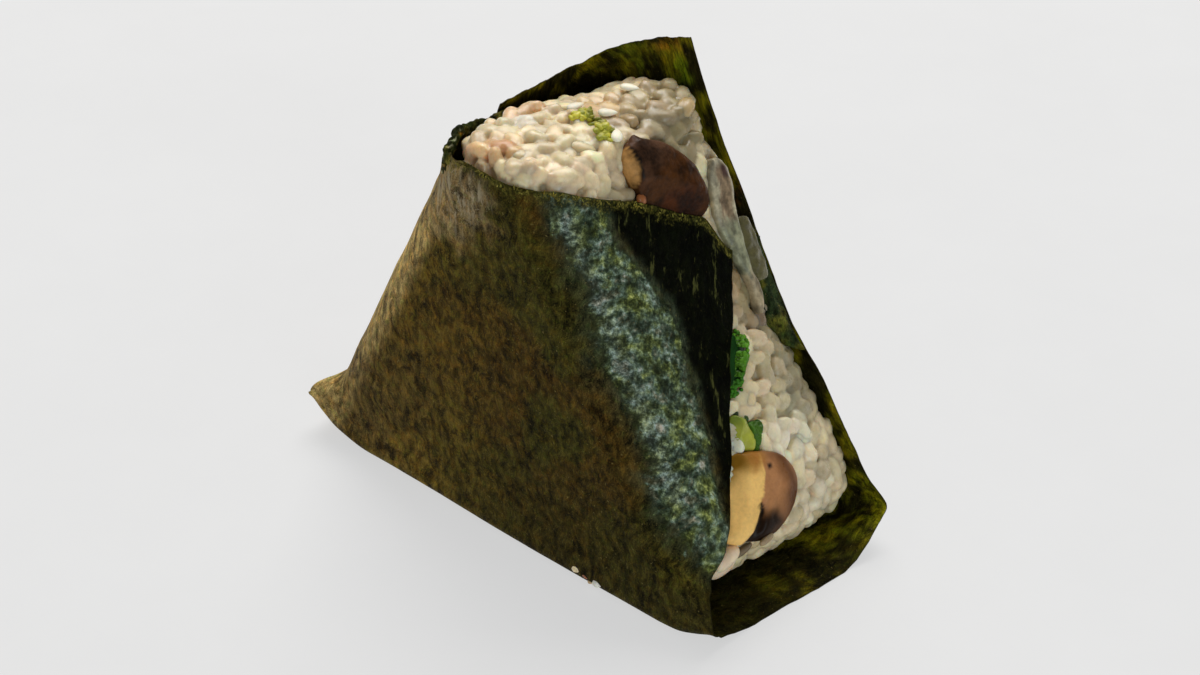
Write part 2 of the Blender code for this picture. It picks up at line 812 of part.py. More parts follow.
def joined(name, collection, lumps):
    """Fuse a piece's lumps into one closed solid."""
    base = add_bmesh(name, collection, lumps[0])
    if len(lumps) > 1:
        group = new_collection(name + "_lumps")
        for i, bm in enumerate(lumps[1:]):
            add_bmesh("%s_%d" % (name, i), group, bm)
        boolean(base, "UNION", "MANIFOLD", group=group)
        remove_all(group)
        bpy.data.collections.remove(group)
    return base


def material(name, colour, roughness):
    """Principled material of one part."""
    mat = bpy.data.materials.new(name)
    mat.use_nodes = True
    shader = mat.node_tree.nodes["Principled BSDF"]
    shader.inputs["Base Color"].default_value = (*colour, 1.0)
    shader.inputs["Roughness"].default_value = roughness
    shader.inputs["Metallic"].default_value = 0.0
    return mat


def main():
    """Build every part of the onigiri."""
    for obj in list(bpy.data.objects):
        bpy.data.objects.remove(obj)
    parts = new_collection("vegetable_onigiri")
    cutters = new_collection("cutters", hidden=True)
    loose = new_collection("grains")

    nori = build_nori(parts)
    trims = [
        keep_out("trim_front", cutters, ("front", "front_fold"), 5.0 * MM),
        keep_out("trim_base", cutters, ("base", "back_fold"), 4.0 * MM),
        keep_out("trim_back", cutters, ("back_fold", "back"), 4.0 * MM),
    ]

    rice = build_rice(parts, loose)
    boolean(rice, "UNION", "MANIFOLD", group=loose)
    remove_all(loose)
    bpy.data.collections.remove(loose)
    for trim in trims:
        boolean(rice, "DIFFERENCE", "MANIFOLD", target=trim)

    placed = {}
    for name, lumps in filling_parts(0.0).items():
        piece = joined(name, parts, lumps)
        for trim in trims:
            boolean(piece, "DIFFERENCE", "MANIFOLD", target=trim)
        placed[name] = piece
    for name, lumps in filling_parts(CLEARANCE).items():
        pocket = joined("pocket_" + name, cutters, lumps)
        pocket.display_type = "WIRE"
        boolean(rice, "DIFFERENCE", "MANIFOLD", target=pocket)
        for behind, front in TRIMMED_BY:
            if name == front:
                boolean(placed[behind], "DIFFERENCE", "MANIFOLD", target=pocket)

    largest_piece(rice)
    for piece in placed.values():
        largest_piece(piece)
    for obj in (nori, rice, *placed.values()):
        colour, roughness = FINISHES[obj.name]
        obj.data.materials.clear()
        obj.data.materials.append(material(obj.name + "_material", colour, roughness))
        obj.data.polygons.foreach_set("use_smooth", [True] * len(obj.data.polygons))
        print(obj.name, len(obj.data.polygons), "triangles")


main()
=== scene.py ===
"""Looks of a vegetable onigiri: pressed rice with mushrooms and greens in one strip of nori.

All lengths are metres. The rice block has coordinates of its own, with Y from its front
face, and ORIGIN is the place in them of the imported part's origin.
"""
import logging
import math
from dataclasses import dataclass
from enum import Enum
from typing import Callable, Iterable, Sequence

import bmesh
import bpy
import numpy as np
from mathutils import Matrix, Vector
from mathutils.bvhtree import BVHTree
from mathutils.kdtree import KDTree


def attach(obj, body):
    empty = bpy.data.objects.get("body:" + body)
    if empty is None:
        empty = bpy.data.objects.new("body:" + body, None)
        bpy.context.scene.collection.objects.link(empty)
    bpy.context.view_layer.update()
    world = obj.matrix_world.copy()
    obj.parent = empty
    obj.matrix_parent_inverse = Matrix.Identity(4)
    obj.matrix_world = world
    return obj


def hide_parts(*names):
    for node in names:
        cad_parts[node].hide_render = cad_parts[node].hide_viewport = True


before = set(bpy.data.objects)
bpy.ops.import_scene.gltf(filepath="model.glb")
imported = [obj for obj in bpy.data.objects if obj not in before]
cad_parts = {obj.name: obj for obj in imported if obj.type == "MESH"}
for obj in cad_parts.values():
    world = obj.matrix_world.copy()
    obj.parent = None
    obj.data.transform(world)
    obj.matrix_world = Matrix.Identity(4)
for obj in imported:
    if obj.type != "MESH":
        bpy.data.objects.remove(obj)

LOG = logging.getLogger("onigiri")
MM = 0.001
TURN = 2.0 * math.pi
ORIGIN = np.array([1.07, 21.75, 0.0]) * MM
HIGHEST = 80.0 * MM
BODY = "root"

Array = np.ndarray
Piece = bpy.types.Object
Socket = bpy.types.NodeSocket
Row = tuple[float, ...]
Triple = tuple[float, float, float]
Colour = Triple
Faces = list[tuple[int, ...]]
Value = Socket | float | Sequence[float]


def ease(low: float, high: float, value: Array) -> Array:
    """Smooth step.

    Args:
        low: value where the step starts.
        high: value where it is complete.
        value: numbers to map.

    Returns:
        Numbers from 0 to 1.
    """
    t = np.clip((np.asarray(value, float) - low) / (high - low), 0.0, 1.0)
    return t * t * (3.0 - 2.0 * t)


def fade(low: float, high: float, value: Array) -> Array:
    """Smooth step down from 1 to 0."""
    return 1.0 - ease(low, high, value)


def bell(value: Array, width: float) -> Array:
    """Round bump of height 1 at zero."""
    return np.exp(-(value / width) ** 2)


def ragged(t: Array, phase: float) -> Array:
    """Unevenness of a torn edge by place, about one unit each way; the phase shifts it."""
    return np.sin(17.0 * t + phase) * 0.6 + np.sin(41.0 * t + 2.3 * phase) * 0.4


def unit(v: Array) -> Array:
    """Vectors scaled to length one, row by row."""
    return v / np.maximum(np.linalg.norm(v, axis=-1, keepdims=True), 1e-12)


def circle(steps: int) -> tuple[Array, Array]:
    """Evenly spaced angles and their directions."""
    angle = np.linspace(0.0, TURN, steps, endpoint=False)
    return angle, np.stack([np.cos(angle), np.sin(angle)], axis=1)


def smoothed(line: Array, times: int) -> Array:
    """A line with its inner points averaged with their neighbours some times.

    Args:
        line: points or numbers along it, changed in place.
        times: how often.

    Returns:
        The same line.
    """
    for _ in range(times):
        line[1:-1] = 0.5 * line[1:-1] + 0.25 * (line[:-2] + line[2:])
    return line


def tree_of(points: Array) -> KDTree:
    """Search tree of some points.

    Args:
        points: one a row.

    Returns:
        The tree, ready to search.
    """
    tree = KDTree(len(points))
    for i, point in enumerate(points):
        tree.insert(point, i)
    tree.balance()
    return tree


def painted(base: Colour, count: int, layers: Iterable[tuple[Colour, Array]]) -> Array:
    """A colour for each point, with other colours laid over it.

    Args:
        base: the colour under all others.
        count: how many points there are.
        layers: colours, with how much of each there is at the points.

    Returns:
        Rows of colour.
    """
    tone = np.tile(base, (count, 1))
    for colour, share in layers:
        share = np.clip(share, 0.0, 1.0)[:, None]
        tone = tone * (1.0 - share) + np.array(colour) * share
    return tone


def near_place(p: Array, place: Sequence[float], reach: float) -> Array:
    """1 at a place, falling to 0 at reach from it, for each point."""
    return fade(0.25 * reach, reach, np.linalg.norm(p - np.array(place), axis=1))


def tube_faces(lengths: int, sides: int) -> Faces:
    """Faces of a closed tube whose points go ring by ring.

    Args:
        lengths: how many rings.
        sides: points in each ring.

    Returns:
        The sides' faces, then the two ends.
    """
    faces = [(i + j, i + k, i + sides + k, i + sides + j)
             for i in range(0, (lengths - 1) * sides, sides)
             for j, k in zip(range(sides), [*range(1, sides), 0])]
    return faces + [tuple(range(sides))[::-1],
                    tuple(range((lengths - 1) * sides, lengths * sides))]


def sheet_faces(rows: int, columns: int) -> Faces:
    """Faces of a thin closed sheet: all points of one side, row by row, then the other's.

    Args:
        rows: rows of points.
        columns: points in each row.

    Returns:
        Faces of both sides and of the rim.
    """
    m = rows * columns
    faces = []
    for i in range(0, m - columns, columns):
        for a in range(i, i + columns - 1):
            b = a + columns
            faces += [(a, b, b + 1, a + 1), (m + a, m + a + 1, m + b + 1, m + b)]
        right = i + columns - 1
        faces.append((i, m + i, m + i + columns, i + columns))
        faces.append((m + right, right, right + columns, m + right + columns))
    for j in range(columns - 1):
        end = m - columns + j
        faces += [(j, j + 1, m + j + 1, m + j), (end + 1, end, m + end, m + end + 1)]
    return faces


def ball_form(subdivisions: int) -> tuple[Array, Faces]:
    """Points and faces of an evenly divided unit ball.

    Args:
        subdivisions: how finely it is divided.

    Returns:
        Its points and faces.
    """
    ball = bmesh.new()
    bmesh.ops.create_icosphere(ball, subdivisions=subdivisions, radius=1.0)
    points = np.array([v.co for v in ball.verts])
    faces = [tuple(v.index for v in f.verts) for f in ball.faces]
    ball.free()
    return points, faces


def make_piece(name: str, verts: Array, faces: Iterable[Sequence[int]],
               material: bpy.types.Material, **kept: Array) -> Piece:
    """Smooth mesh object in the part's frame.

    Args:
        name: the piece's name.
        verts: points in the block's coordinates.
        faces: corner indices of each face.
        material: its finish.
        kept: vectors to keep for each vertex, for the material to read.

    Returns:
        The new object.
    """
    mesh = bpy.data.meshes.new(name)
    mesh.from_pydata((np.asarray(verts) - ORIGIN).tolist(), [], list(faces))
    mesh.polygons.foreach_set("use_smooth", [True] * len(mesh.polygons))
    mesh.materials.append(material)
    mesh.update()
    piece = bpy.data.objects.new(name, mesh)
    bpy.context.scene.collection.objects.link(piece)
    for label, values in kept.items():
        store(piece, label, values)
    return piece


def store(piece: Piece, name: str, values: Array) -> None:
    """Keep a vector for each vertex under a name."""
    attribute = piece.data.attributes.new(name, "FLOAT_VECTOR", "POINT")
    attribute.data.foreach_set("vector", np.asarray(values, np.float32).ravel())


def points_of(piece: Piece) -> Array:
    """Vertices of a piece in the block's coordinates.

    Args:
        piece: mesh object.

    Returns:
        A row for each vertex.
    """
    co = np.zeros(len(piece.data.vertices) * 3)
    piece.data.vertices.foreach_get("co", co)
    return co.reshape(-1, 3) + ORIGIN


def settle(piece: Piece) -> None:
    """Replace a piece's modifiers by the mesh that they make.

    Args:
        piece: mesh object with modifiers.
    """
    graph = bpy.context.evaluated_depsgraph_get()
    mesh = bpy.data.meshes.new_from_object(piece.evaluated_get(graph))
    piece.modifiers.clear()
    piece.data = mesh


class SoftNoise:
    """Repeatable smooth noise in space."""

    SIZE = 32

    def __init__(self, seed: int) -> None:
        """Draws the lattice of values; the seed chooses the pattern."""
        self._values = np.random.default_rng(seed).uniform(-1.0, 1.0, (self.SIZE,) * 3)

    def at(self, p: Array, cell: float) -> Array:
        """Noise from about -1 to 1 at some points, in a pattern of one size.

        Args:
            p: points, one a row.
            cell: size of the pattern.

        Returns:
            A number for each point.
        """
        q = p / cell
        base = np.floor(q).astype(int)
        f = q - base
        f = f * f * (3.0 - 2.0 * f)
        total = np.zeros(len(p))
        for corner in np.ndindex(2, 2, 2):
            x, y, z = ((base + corner) % self.SIZE).T
            weight = np.prod(np.where(np.array(corner) == 1, f, 1.0 - f), axis=1)
            total += weight * self._values[x, y, z]
        return total

    def layered(self, p: Array, cell: float, layers: int) -> Array:
        """Sum of ever finer noise.

        Args:
            p: points, one a row.
            cell: size of the coarsest pattern.
            layers: how many patterns, each half the size and strength of the last.

        Returns:
            Numbers from about -1.5 to 1.5.
        """
        total = np.zeros(len(p))
        for k in range(layers):
            total += 0.5 ** k * self.at(p + 7.3 * k * cell, cell * 0.5 ** k)
        return total


@dataclass
class PressedBlock:
    """Form that the rice was pressed to: a triangle with round ridges, stood on its base."""

    depth: float = 43.0 * MM
    ridge: float = 9.0 * MM
    roof: float = 74.5 * MM
    underside: float = 0.9 * MM
    crown: float = 71.6 * MM
    crown_bow: float = 12.0
    crown_middle: float = -2.0 * MM
    front: float = 1.2 * MM
    back: float = 42.3 * MM
    half_base_right: float = 49.6 * MM
    half_base_left: float = 48.2 * MM
    lean_right: float = math.radians(30.0)
    lean_left: float = math.radians(27.0)
    square_back_ridge: float = 4.2 * MM
    middle: Triple = (-0.001, 0.0215, 0.030)

    def __post_init__(self) -> None:
        """Works out the slopes and the flat-faced prism inside the ridges."""
        right, left = self.lean_right, self.lean_left
        self.normal_right = np.array([math.cos(right), math.sin(right)])
        self.normal_left = np.array([-math.cos(left), math.sin(left)])
        self.reach_right = self.half_base_right * math.cos(right)
        self.reach_left = self.half_base_left * math.cos(left)
        low, high = self.underside + self.ridge, self.roof - self.ridge
        self.low_high = (low, high)
        slopes = ((self.normal_left, self.reach_left), (self.normal_right, self.reach_right))
        self.corners = np.array([
            ((reach - self.ridge - n[1] * level) / n[0], level)
            for (n, reach), level in zip(slopes + slopes[::-1], (low, low, high, high))])

    def past_slope(self, p: Array, right: bool) -> Array:
        """Distance of points past the line where one slope's ridges start.

        Args:
            p: points in the block's coordinates.
            right: the right slope, otherwise the left.

        Returns:
            Distances, below zero on the flat side.
        """
        n, reach = ((self.normal_right, self.reach_right) if right
                    else (self.normal_left, self.reach_left))
        return p[:, 0] * n[0] + p[:, 2] * n[1] - (reach - self.ridge)

    def spine(self, p: Array) -> Array:
        """Nearest points of the inner prism, one for each point.

        Args:
            p: points in the block's coordinates.

        Returns:
            A point of the prism for each.
        """
        q = p[:, (0, 2)]
        low, high = self.low_high
        inside = (q[:, 1] >= low) & (q[:, 1] <= high)
        inside &= q @ self.normal_right <= self.reach_right - self.ridge
        inside &= q @ self.normal_left <= self.reach_left - self.ridge
        best = np.full(len(p), np.inf)
        nearest = q.copy()
        for a, b in zip(self.corners, np.roll(self.corners, -1, axis=0)):
            t = np.clip((q - a) @ (b - a) / ((b - a) @ (b - a)), 0.0, 1.0)
            c = a + t[:, None] * (b - a)
            away = np.linalg.norm(q - c, axis=1)
            closer = ~inside & (away < best)
            nearest[closer] = c[closer]
            best = np.where(closer, away, best)
        squared = self.square_back_ridge * ease(-8.0 * MM, 8.0 * MM, p[:, 0])
        y = np.clip(p[:, 1], self.front + self.ridge, None)
        y = np.minimum(y, self.back - self.ridge + squared)
        return np.stack([nearest[:, 0], y, nearest[:, 1]], axis=1)

    def distance(self, p: Array) -> Array:
        """Distance of points outside the block, below zero inside it.

        Args:
            p: points in the block's coordinates.

        Returns:
            A distance for each point.
        """
        away = np.linalg.norm(p - self.spine(p), axis=1) - self.ridge
        top = p[:, 2] - (self.crown - self.crown_bow * (p[:, 0] - self.crown_middle) ** 2)
        return np.maximum(away, np.maximum(p[:, 1] - self.back, top))

    def outward(self, p: Array) -> Array:
        """Outward direction of the block's surface at points."""
        steps = 0.02 * MM * np.eye(3)
        return unit(np.stack([self.distance(p + d) - self.distance(p - d) for d in steps], axis=1))

    def onto(self, p: Array) -> Array:
        """Points moved onto the block's surface.

        Args:
            p: points in the block's coordinates.

        Returns:
            Points of the surface.
        """
        p = np.array(p, float)
        for _ in range(6):
            p = p - self.outward(p) * self.distance(p)[:, None]
        return p

    def outline_from(self, directions: Array) -> Array:
        """Surface points straight out from the block's middle in some directions.

        Args:
            directions: unit vectors.

        Returns:
            Points of the surface.
        """
        near = np.zeros(len(directions))
        far = np.full(len(directions), HIGHEST)
        start = np.array(self.middle)
        for _ in range(22):
            half = 0.5 * (near + far)
            outside = self.distance(start + directions * half[:, None]) > 0.0
            far = np.where(outside, half, far)
            near = np.where(outside, near, half)
        return start + directions * near[:, None]

    def patch_frame(self, place: Sequence[float]) -> tuple[Array, Array]:
        """The surface point at a place, and rows that point down the slope, back and outward.

        Args:
            place: point near the surface.

        Returns:
            The point and the rows.
        """
        p = self.onto(np.array([place]))
        n = self.outward(p)[0]
        down = unit(np.cross(np.array([0.0, 1.0, 0.0]), n))
        return p[0], np.array([down, np.cross(n, down), n])


class Run(Enum):
    """Lengths of the strip, in the order that it goes round the rice."""

    FRONT = "front"
    FRONT_FOLD = "front fold"
    BASE = "base"
    BACK_FOLD = "back fold"
    BACK = "back"


@dataclass(frozen=True)
class TurnedCorner:
    """Corner of the strip that is turned up from the floor."""

    x: float
    y: float
    lift: float
    reach_x: float
    reach_y: float


@dataclass
class NoriStrip:
    """One strip of nori up the front, under the base and up the back, with its flaps."""

    block: PressedBlock
    width: float = 95.0 * MM
    thick: float = 0.6 * MM
    rim_thick: float = 0.26 * MM
    rim_band: float = 3.5 * MM
    gap: float = 0.35 * MM
    fold: float = 1.8 * MM
    front_length: float = 69.0 * MM
    back_corner: float = 78.9 * MM
    rim_at_ridge: float = 77.7 * MM
    rim_fall: float = 0.80
    rim_fall_run: float = 14.1 * MM
    flap_lap: float = 1.1 * MM
    flap_end: float = 16.0 * MM
    wave: float = 0.22 * MM
    columns: int = 180
    front_rows: int = 130
    fold_rows: int = 7
    base_rows: int = 24
    back_rows: int = 104
    crinkle: float = 0.11 * MM
    torn: float = 0.22 * MM
    torn_cell: float = 1.6 * MM
    right_tear: float = 0.35 * MM
    end_tear: float = 0.6 * MM
    corner_rise: float = 5.6 * MM
    corner_tear: float = 0.9 * MM
    corner_swell: float = 1.3 * MM
    corner_crumple: float = 0.55 * MM
    corner_drop: float = 4.2 * MM
    crest: float = 0.90 * MM
    crest_at: float = 3.5 * MM
    crest_wide: float = 4.2 * MM
    right_drawn: float = 1.7 * MM
    right_wrap: float = 0.024
    right_notch: tuple[float, float] = (0.0125, 0.0165)
    right_reach: float = 1.35 * MM
    seed: int = 23
    edge_height: Row = (
        0.006, 0.010, 0.014, 0.018, 0.022, 0.026, 0.030, 0.034, 0.040, 0.048, 0.055, 0.062, 0.070,
        0.0793)
    edge_slack: Row = (
        0.0018, 0.0014, 0.0013, 0.0008, 0.0005, 0.0003, -0.0010, -0.0019, -0.0020, -0.0018,
        -0.0014, -0.0016, -0.0009, 0.0003)
    end_height: Row = (0.0, 0.002, 0.004, 0.007, 0.010, 0.015)
    end_drawn: Row = (0.0, 0.0004, 0.0007, 0.0014, 0.0020, 0.0)
    base_depth: Row = (0.0, 0.010, 0.018, 0.025, 0.032, 0.038, 0.043)
    base_right: Row = (0.0475, 0.0480, 0.0487, 0.0497, 0.0502, 0.0501, 0.0496)
    belly: float = 0.95 * MM
    widest: float = 0.0496
    turned: tuple[TurnedCorner, ...] = (
        TurnedCorner(-0.0475, 0.0010, 0.0023, 0.0075, 0.012),
        TurnedCorner(-0.0475, 0.0010, 0.0027, 0.0150, 0.015),
        TurnedCorner(0.0475, 0.0010, 0.0018, 0.008, 0.010),
        TurnedCorner(0.0495, 0.0425, 0.0046, 0.012, 0.011),
        TurnedCorner(-0.0475, 0.0425, 0.0028, 0.012, 0.012),
    )

    def __post_init__(self) -> None:
        """Works out the height where the folds end."""
        self.low = self.fold + self.thick
        self.noise = SoftNoise(self.seed)

    def _soft_wave(self, u: Array, v: Array) -> Array:
        """Slow unevenness of the sheet between 0 and 1.

        Args:
            u: places across the strip, 0 to 1.
            v: places along it.

        Returns:
            A height for each place.
        """
        w = np.sin(11.0 * u + 5.0 * v + 0.6) * np.sin(13.0 * v - 4.0 * u + 1.1)
        w = w + 0.6 * np.sin(23.0 * u - 9.0 * v + 2.0) * np.sin(7.0 * u + 19.0 * v)
        return self.wave * (0.5 + w / 3.2)

    def _lift(self, p: Array) -> Array:
        """How far points near a corner of the base are turned up.

        Args:
            p: points in the block's coordinates.

        Returns:
            A height for each point.
        """
        rise = np.zeros(len(p))
        for corner in self.turned:
            rise += (corner.lift * fade(0.0, corner.reach_x, np.abs(p[:, 0] - corner.x))
                     * fade(0.0, corner.reach_y, np.abs(p[:, 1] - corner.y)))
        return rise * fade(0.0, 0.014, p[:, 2])

    def _left_end(self, height: Array) -> Array:
        """X of the strip's left edge, drawn in where it meets the floor."""
        return -0.5 * self.width + np.interp(height, self.end_height, self.end_drawn)

    def right_edge(self, z: Array) -> Array:
        """X of the back panel's right edge at a height.

        Args:
            z: heights.

        Returns:
            X at each height.
        """
        slack = np.interp(z, self.edge_height, self.edge_slack)
        n = self.block.normal_right
        return np.minimum(self.widest, (self.block.reach_right + slack - n[1] * z) / n[0])

    def _ridge_foot(self, z: Array) -> Array:
        """X of the line where the back panel starts round the left slope."""
        n = self.block.normal_left
        return -(self.block.reach_left - self.block.ridge - n[1] * z) / abs(n[0])

    def _front(self, u: Array, q: Array, out: Array) -> Array:
        """Points of the front panel and of the flaps that it sends round both slopes.

        Args:
            u: places across the strip, 0 to 1.
            q: lengths up the slope from the floor.
            out: distance outward.

        Returns:
            Points in the block's coordinates.
        """
        block = self.block
        right = 0.5 * self.width - self.right_drawn * ease(0.0, 0.015, q)
        right = right + self.right_reach * ease(*self.right_notch, q)
        tear = self.right_tear * ragged(q / self.front_length, 0.7)
        right = right + tear * ease(0.005, 0.012, q)
        left = self._left_end(q)
        across = left + u * (right - left)
        r = block.ridge + out
        y_axis = block.front + block.ridge
        x, y, z = across.copy(), y_axis - r, q.copy()
        for n, reach, sign, bent in (
                (block.normal_right, block.reach_right, 1.0, ease(self.low, self.right_wrap, q)),
                (block.normal_left, block.reach_left, -1.0, ease(self.low, 0.0125, q))):
            s = n[0] * across + n[1] * q - (reach - block.ridge)
            on = (s > 0.0) & (across * sign > -0.003)
            s2 = s * bent
            arc = 0.5 * math.pi * r
            turn = np.minimum(s2, arc) / r
            radial = r * np.sin(turn) + s - s2
            x = np.where(on, across - n[0] * s + n[0] * radial, x)
            z = np.where(on, q - n[1] * s + n[1] * radial, z)
            y = np.where(on, y_axis - r * np.cos(turn) + np.maximum(s2 - arc, 0.0), y)
        return np.stack([x, y, z], axis=1)

    def _back(self, u: Array, t: Array, out: Array) -> Array:
        """Points of the back panel and of its flap that closes the left slope.

        Args:
            u: places across the strip, 0 to 1.
            t: places up the panel, 0 to 1.
            out: distance outward.

        Returns:
            Points in the block's coordinates.
        """
        block, low = self.block, self.low
        z_right = low + t * (self.back_corner - low)
        z_ridge = low + t * (self.rim_at_ridge - low)
        x_right = self.right_edge(z_right)
        flat = x_right - self._ridge_foot(z_ridge)
        r = block.ridge + out
        y_axis = block.back - block.ridge
        wrapped = ease(0.05, 0.42, t)
        end = self._ridge_foot(low) + 0.5 * self.width
        end = end + wrapped * (0.5 * math.pi * r + y_axis - self.flap_end - end)
        end = end + self.end_tear * ragged(t, 2.1) * wrapped
        run = (1.0 - u) * (flat + end)
        crest = self.crest * bell(run - self.crest_at, self.crest_wide)
        rim_line = z_right + (z_ridge - z_right) * (run / flat) + t * crest
        panel = np.stack([x_right - run, y_axis + r, rim_line], axis=1)

        s = np.maximum(run - flat, 0.0)
        rim = self.rim_at_ridge + crest - self.rim_fall * np.minimum(s, self.rim_fall_run)
        rim = rim - 0.05 * np.maximum(0.0, s - self.rim_fall_run)
        z_foot = low + t * (rim - low)
        lap = self.flap_lap * ease(0.0, 0.011, s)
        r = r + lap
        arc = 0.5 * math.pi * r
        s2 = s * ease(low, 0.013, z_foot)
        turning = s2 < arc
        turn = np.minimum(s2 / r, 0.5 * math.pi)
        radial = np.where(turning, r * np.sin(turn), r)
        y = y_axis + r * np.cos(turn) - lap * fade(0.0, 0.006, s2)
        y = np.where(turning, y, y_axis - (s2 - arc))
        n = block.normal_left
        x = self._ridge_foot(z_foot) + n[0] * radial - (s - s2)
        flap = np.stack([x, y, z_foot + n[1] * radial], axis=1)
        return np.where((run <= flat)[:, None], panel, flap)

    def places(self, run: Run, u: Array, t: Array, out: Array) -> Array:
        """Points of the sheet.

        Args:
            run: which length of the strip.
            u: place across the strip, 0 at the left edge and 1 at the right.
            t: place along that length, 0 to 1.
            out: distance outward from the sheet's inner face.

        Returns:
            Points in the block's coordinates.
        """
        block = self.block
        gap = self.gap + out
        turn = self.fold + out
        a = 0.5 * math.pi * t
        if run is Run.FRONT:
            top = self.front_length + 0.5 * MM * ragged(u, 0.4)
            top = top + self.corner_rise * fade(0.16, 0.44, u)
            top = top + self.corner_tear * ragged(u * 3.0, 1.9) * fade(0.36, 0.46, u)
            top = top - self.corner_drop * ease(0.93, 1.0, u)
            swell = self._soft_wave(u, 0.4 * t) * ease(0.0, 0.12, t)
            loose = ease(0.25, 0.31, u) * fade(0.38, 0.47, u) * ease(0.86, 1.0, t)
            swell = swell + self.corner_swell * loose * (0.7 + 0.5 * ragged(2.0 * u, 0.3))
            p = self._front(u, self.low + t * (top - self.low), gap + swell)
        elif run is Run.FRONT_FOLD:
            left = self._left_end(np.zeros_like(u))
            p = np.stack([left + u * (0.5 * self.width - left),
                          block.front - gap + turn - turn * np.cos(a),
                          self.low - turn * np.sin(a)], axis=1)
        elif run is Run.BASE:
            y = block.front - self.gap + self.fold
            y = y + t * (block.back - block.front + 2.0 * self.gap - 2.0 * self.fold)
            right = float(np.interp(y[0], self.base_depth, self.base_right))
            left = self._left_end(0.4 * y)
            p = np.stack([left + u * (right - left), y, self.thick - out], axis=1)
        elif run is Run.BACK_FOLD:
            x = -0.5 * self.width + u * (self.right_edge(self.low) + 0.5 * self.width)
            p = np.stack([x, block.back + gap - turn + turn * np.sin(a),
                          self.low - turn * np.cos(a)], axis=1)
        else:
            swell = self._soft_wave(u, 1.0 + 0.5 * t) * ease(0.0, 0.1, t)
            p = self._back(u, t, gap + swell)
        p[:, 2] += self._lift(p)
        belly = ease(-0.030, 0.012, p[:, 0]) * fade(0.036, 0.0475, p[:, 0])
        p[:, 1] -= self.belly * belly * (fade(0.0, 0.014, p[:, 2]) * fade(0.0, 0.014, p[:, 1]))
        return p

    def spot(self, run: Run, u: float, t: float, out: float) -> Array:
        """One point of the sheet."""
        return self.places(run, np.array([u]), np.array([t]), np.array([out]))[0]

    def stations(self) -> list[tuple[Run, float]]:
        """Stations along the strip, from the front top edge to the back rim.

        Returns:
            The length of the strip and the place along it, for each row.
        """
        rows = [(Run.FRONT, 1.0 - i / self.front_rows) for i in range(self.front_rows)]
        for run, count in ((Run.FRONT_FOLD, self.fold_rows), (Run.BASE, self.base_rows),
                           (Run.BACK_FOLD, self.fold_rows), (Run.BACK, self.back_rows)):
            rows += [(run, i / count) for i in range(count)]
        return rows + [(Run.BACK, 1.0)]

    def build(self, finish: "NoriFinish") -> Piece:
        """The whole sheet as one thin closed mesh with its material and zones of colour.

        Args:
            finish: the sheet's finish.

        Returns:
            The finished piece.
        """
        rows = self.stations()
        u = np.linspace(0.0, 1.0, self.columns + 1)
        zero = np.zeros(len(u))
        inner_side, outer_side, sheet = [], [], []
        along = 0.0
        last = None
        for i, (run, t) in enumerate(rows):
            middle = self.spot(run, 0.5, t, 0.0)
            if last is not None:
                along += float(np.linalg.norm(middle - last))
            last = middle
            flat = np.stack([u * self.width, zero + along, zero], axis=1)
            frayed = self.noise.layered(flat * [0, 1, 0], self.torn_cell, 3)
            frayed = 0.5 * self.torn / self.width * frayed
            uu = u + (u - 0.5) * 2.0 * frayed * ease(0.3, 0.5, np.abs(u - 0.5))
            tt = zero + t
            if i in (0, len(rows) - 1):
                torn = 0.0022 * self.noise.layered(flat * [1, 0, 0], 1.7 * MM, 3)
                tt = tt + 3.0 * frayed.mean() + torn
            outer = self.rim_thick + (self.thick - self.rim_thick) * self._edge_share(run, u, t)
            inner = zero
            if run is Run.BASE:
                inner, outer = self.thick - outer, zero + self.thick
            relief = self._relief(run, flat, u, t)
            inner_side.append(self.places(run, uu, tt, inner + relief))
            outer_side.append(self.places(run, uu, tt, outer + relief))
            sheet.append(flat)
        verts = np.concatenate(outer_side + inner_side)
        verts[:, 2] = np.maximum(verts[:, 2], 0.0)
        inside = np.repeat([0.0, 1.0], len(verts) // 2)
        flat_place = np.concatenate(sheet + sheet)
        flat_place[:, 2] = inside
        return make_piece("nori_wrap_sheet", verts, sheet_faces(len(rows), len(u)),
                          finish.material(), sheet_place=flat_place,
                          tone=finish.tones(verts, inside, self),
                          zone=finish.zones(verts, inside, self))

    def _edge_share(self, run: Run, u: Array, t: float) -> Array:
        """0 at a free edge of the sheet, 1 further in.

        Args:
            run: which length of the strip.
            u: places across the strip, 0 to 1.
            t: place along that length.

        Returns:
            A share for each place across.
        """
        share = ease(0.0, self.rim_band / self.width, np.minimum(u, 1.0 - u))
        length = {Run.FRONT: self.front_length, Run.BACK: self.back_corner}.get(run)
        return share * (float(ease(0.0, self.rim_band / length, 1.0 - t)) if length else 1.0)

    def _relief(self, run: Run, flat: Array, u: Array, t: float) -> Array:
        """Fine crinkles, none under the base, and stronger at the torn top left corner.

        Args:
            run: which length of the strip.
            flat: the same places in the flat sheet.
            u: places across the strip, 0 to 1.
            t: place along that length.

        Returns:
            A height for each place across.
        """
        if run is Run.BASE:
            return np.zeros(len(u))
        fold = 0.25 if run in (Run.FRONT_FOLD, Run.BACK_FOLD) else 1.0
        amount = self.crinkle * fold * self.noise.layered(flat, 6.5 * MM, 4)
        if run is Run.FRONT:
            crumpled = fade(0.30, 0.44, u) * ease(0.02, 0.2, u) * float(ease(0.80, 0.97, t))
            folds = self.noise.layered(flat + 1.0, 3.6 * MM, 3)
            amount = amount + crumpled * self.corner_crumple * folds
        return amount


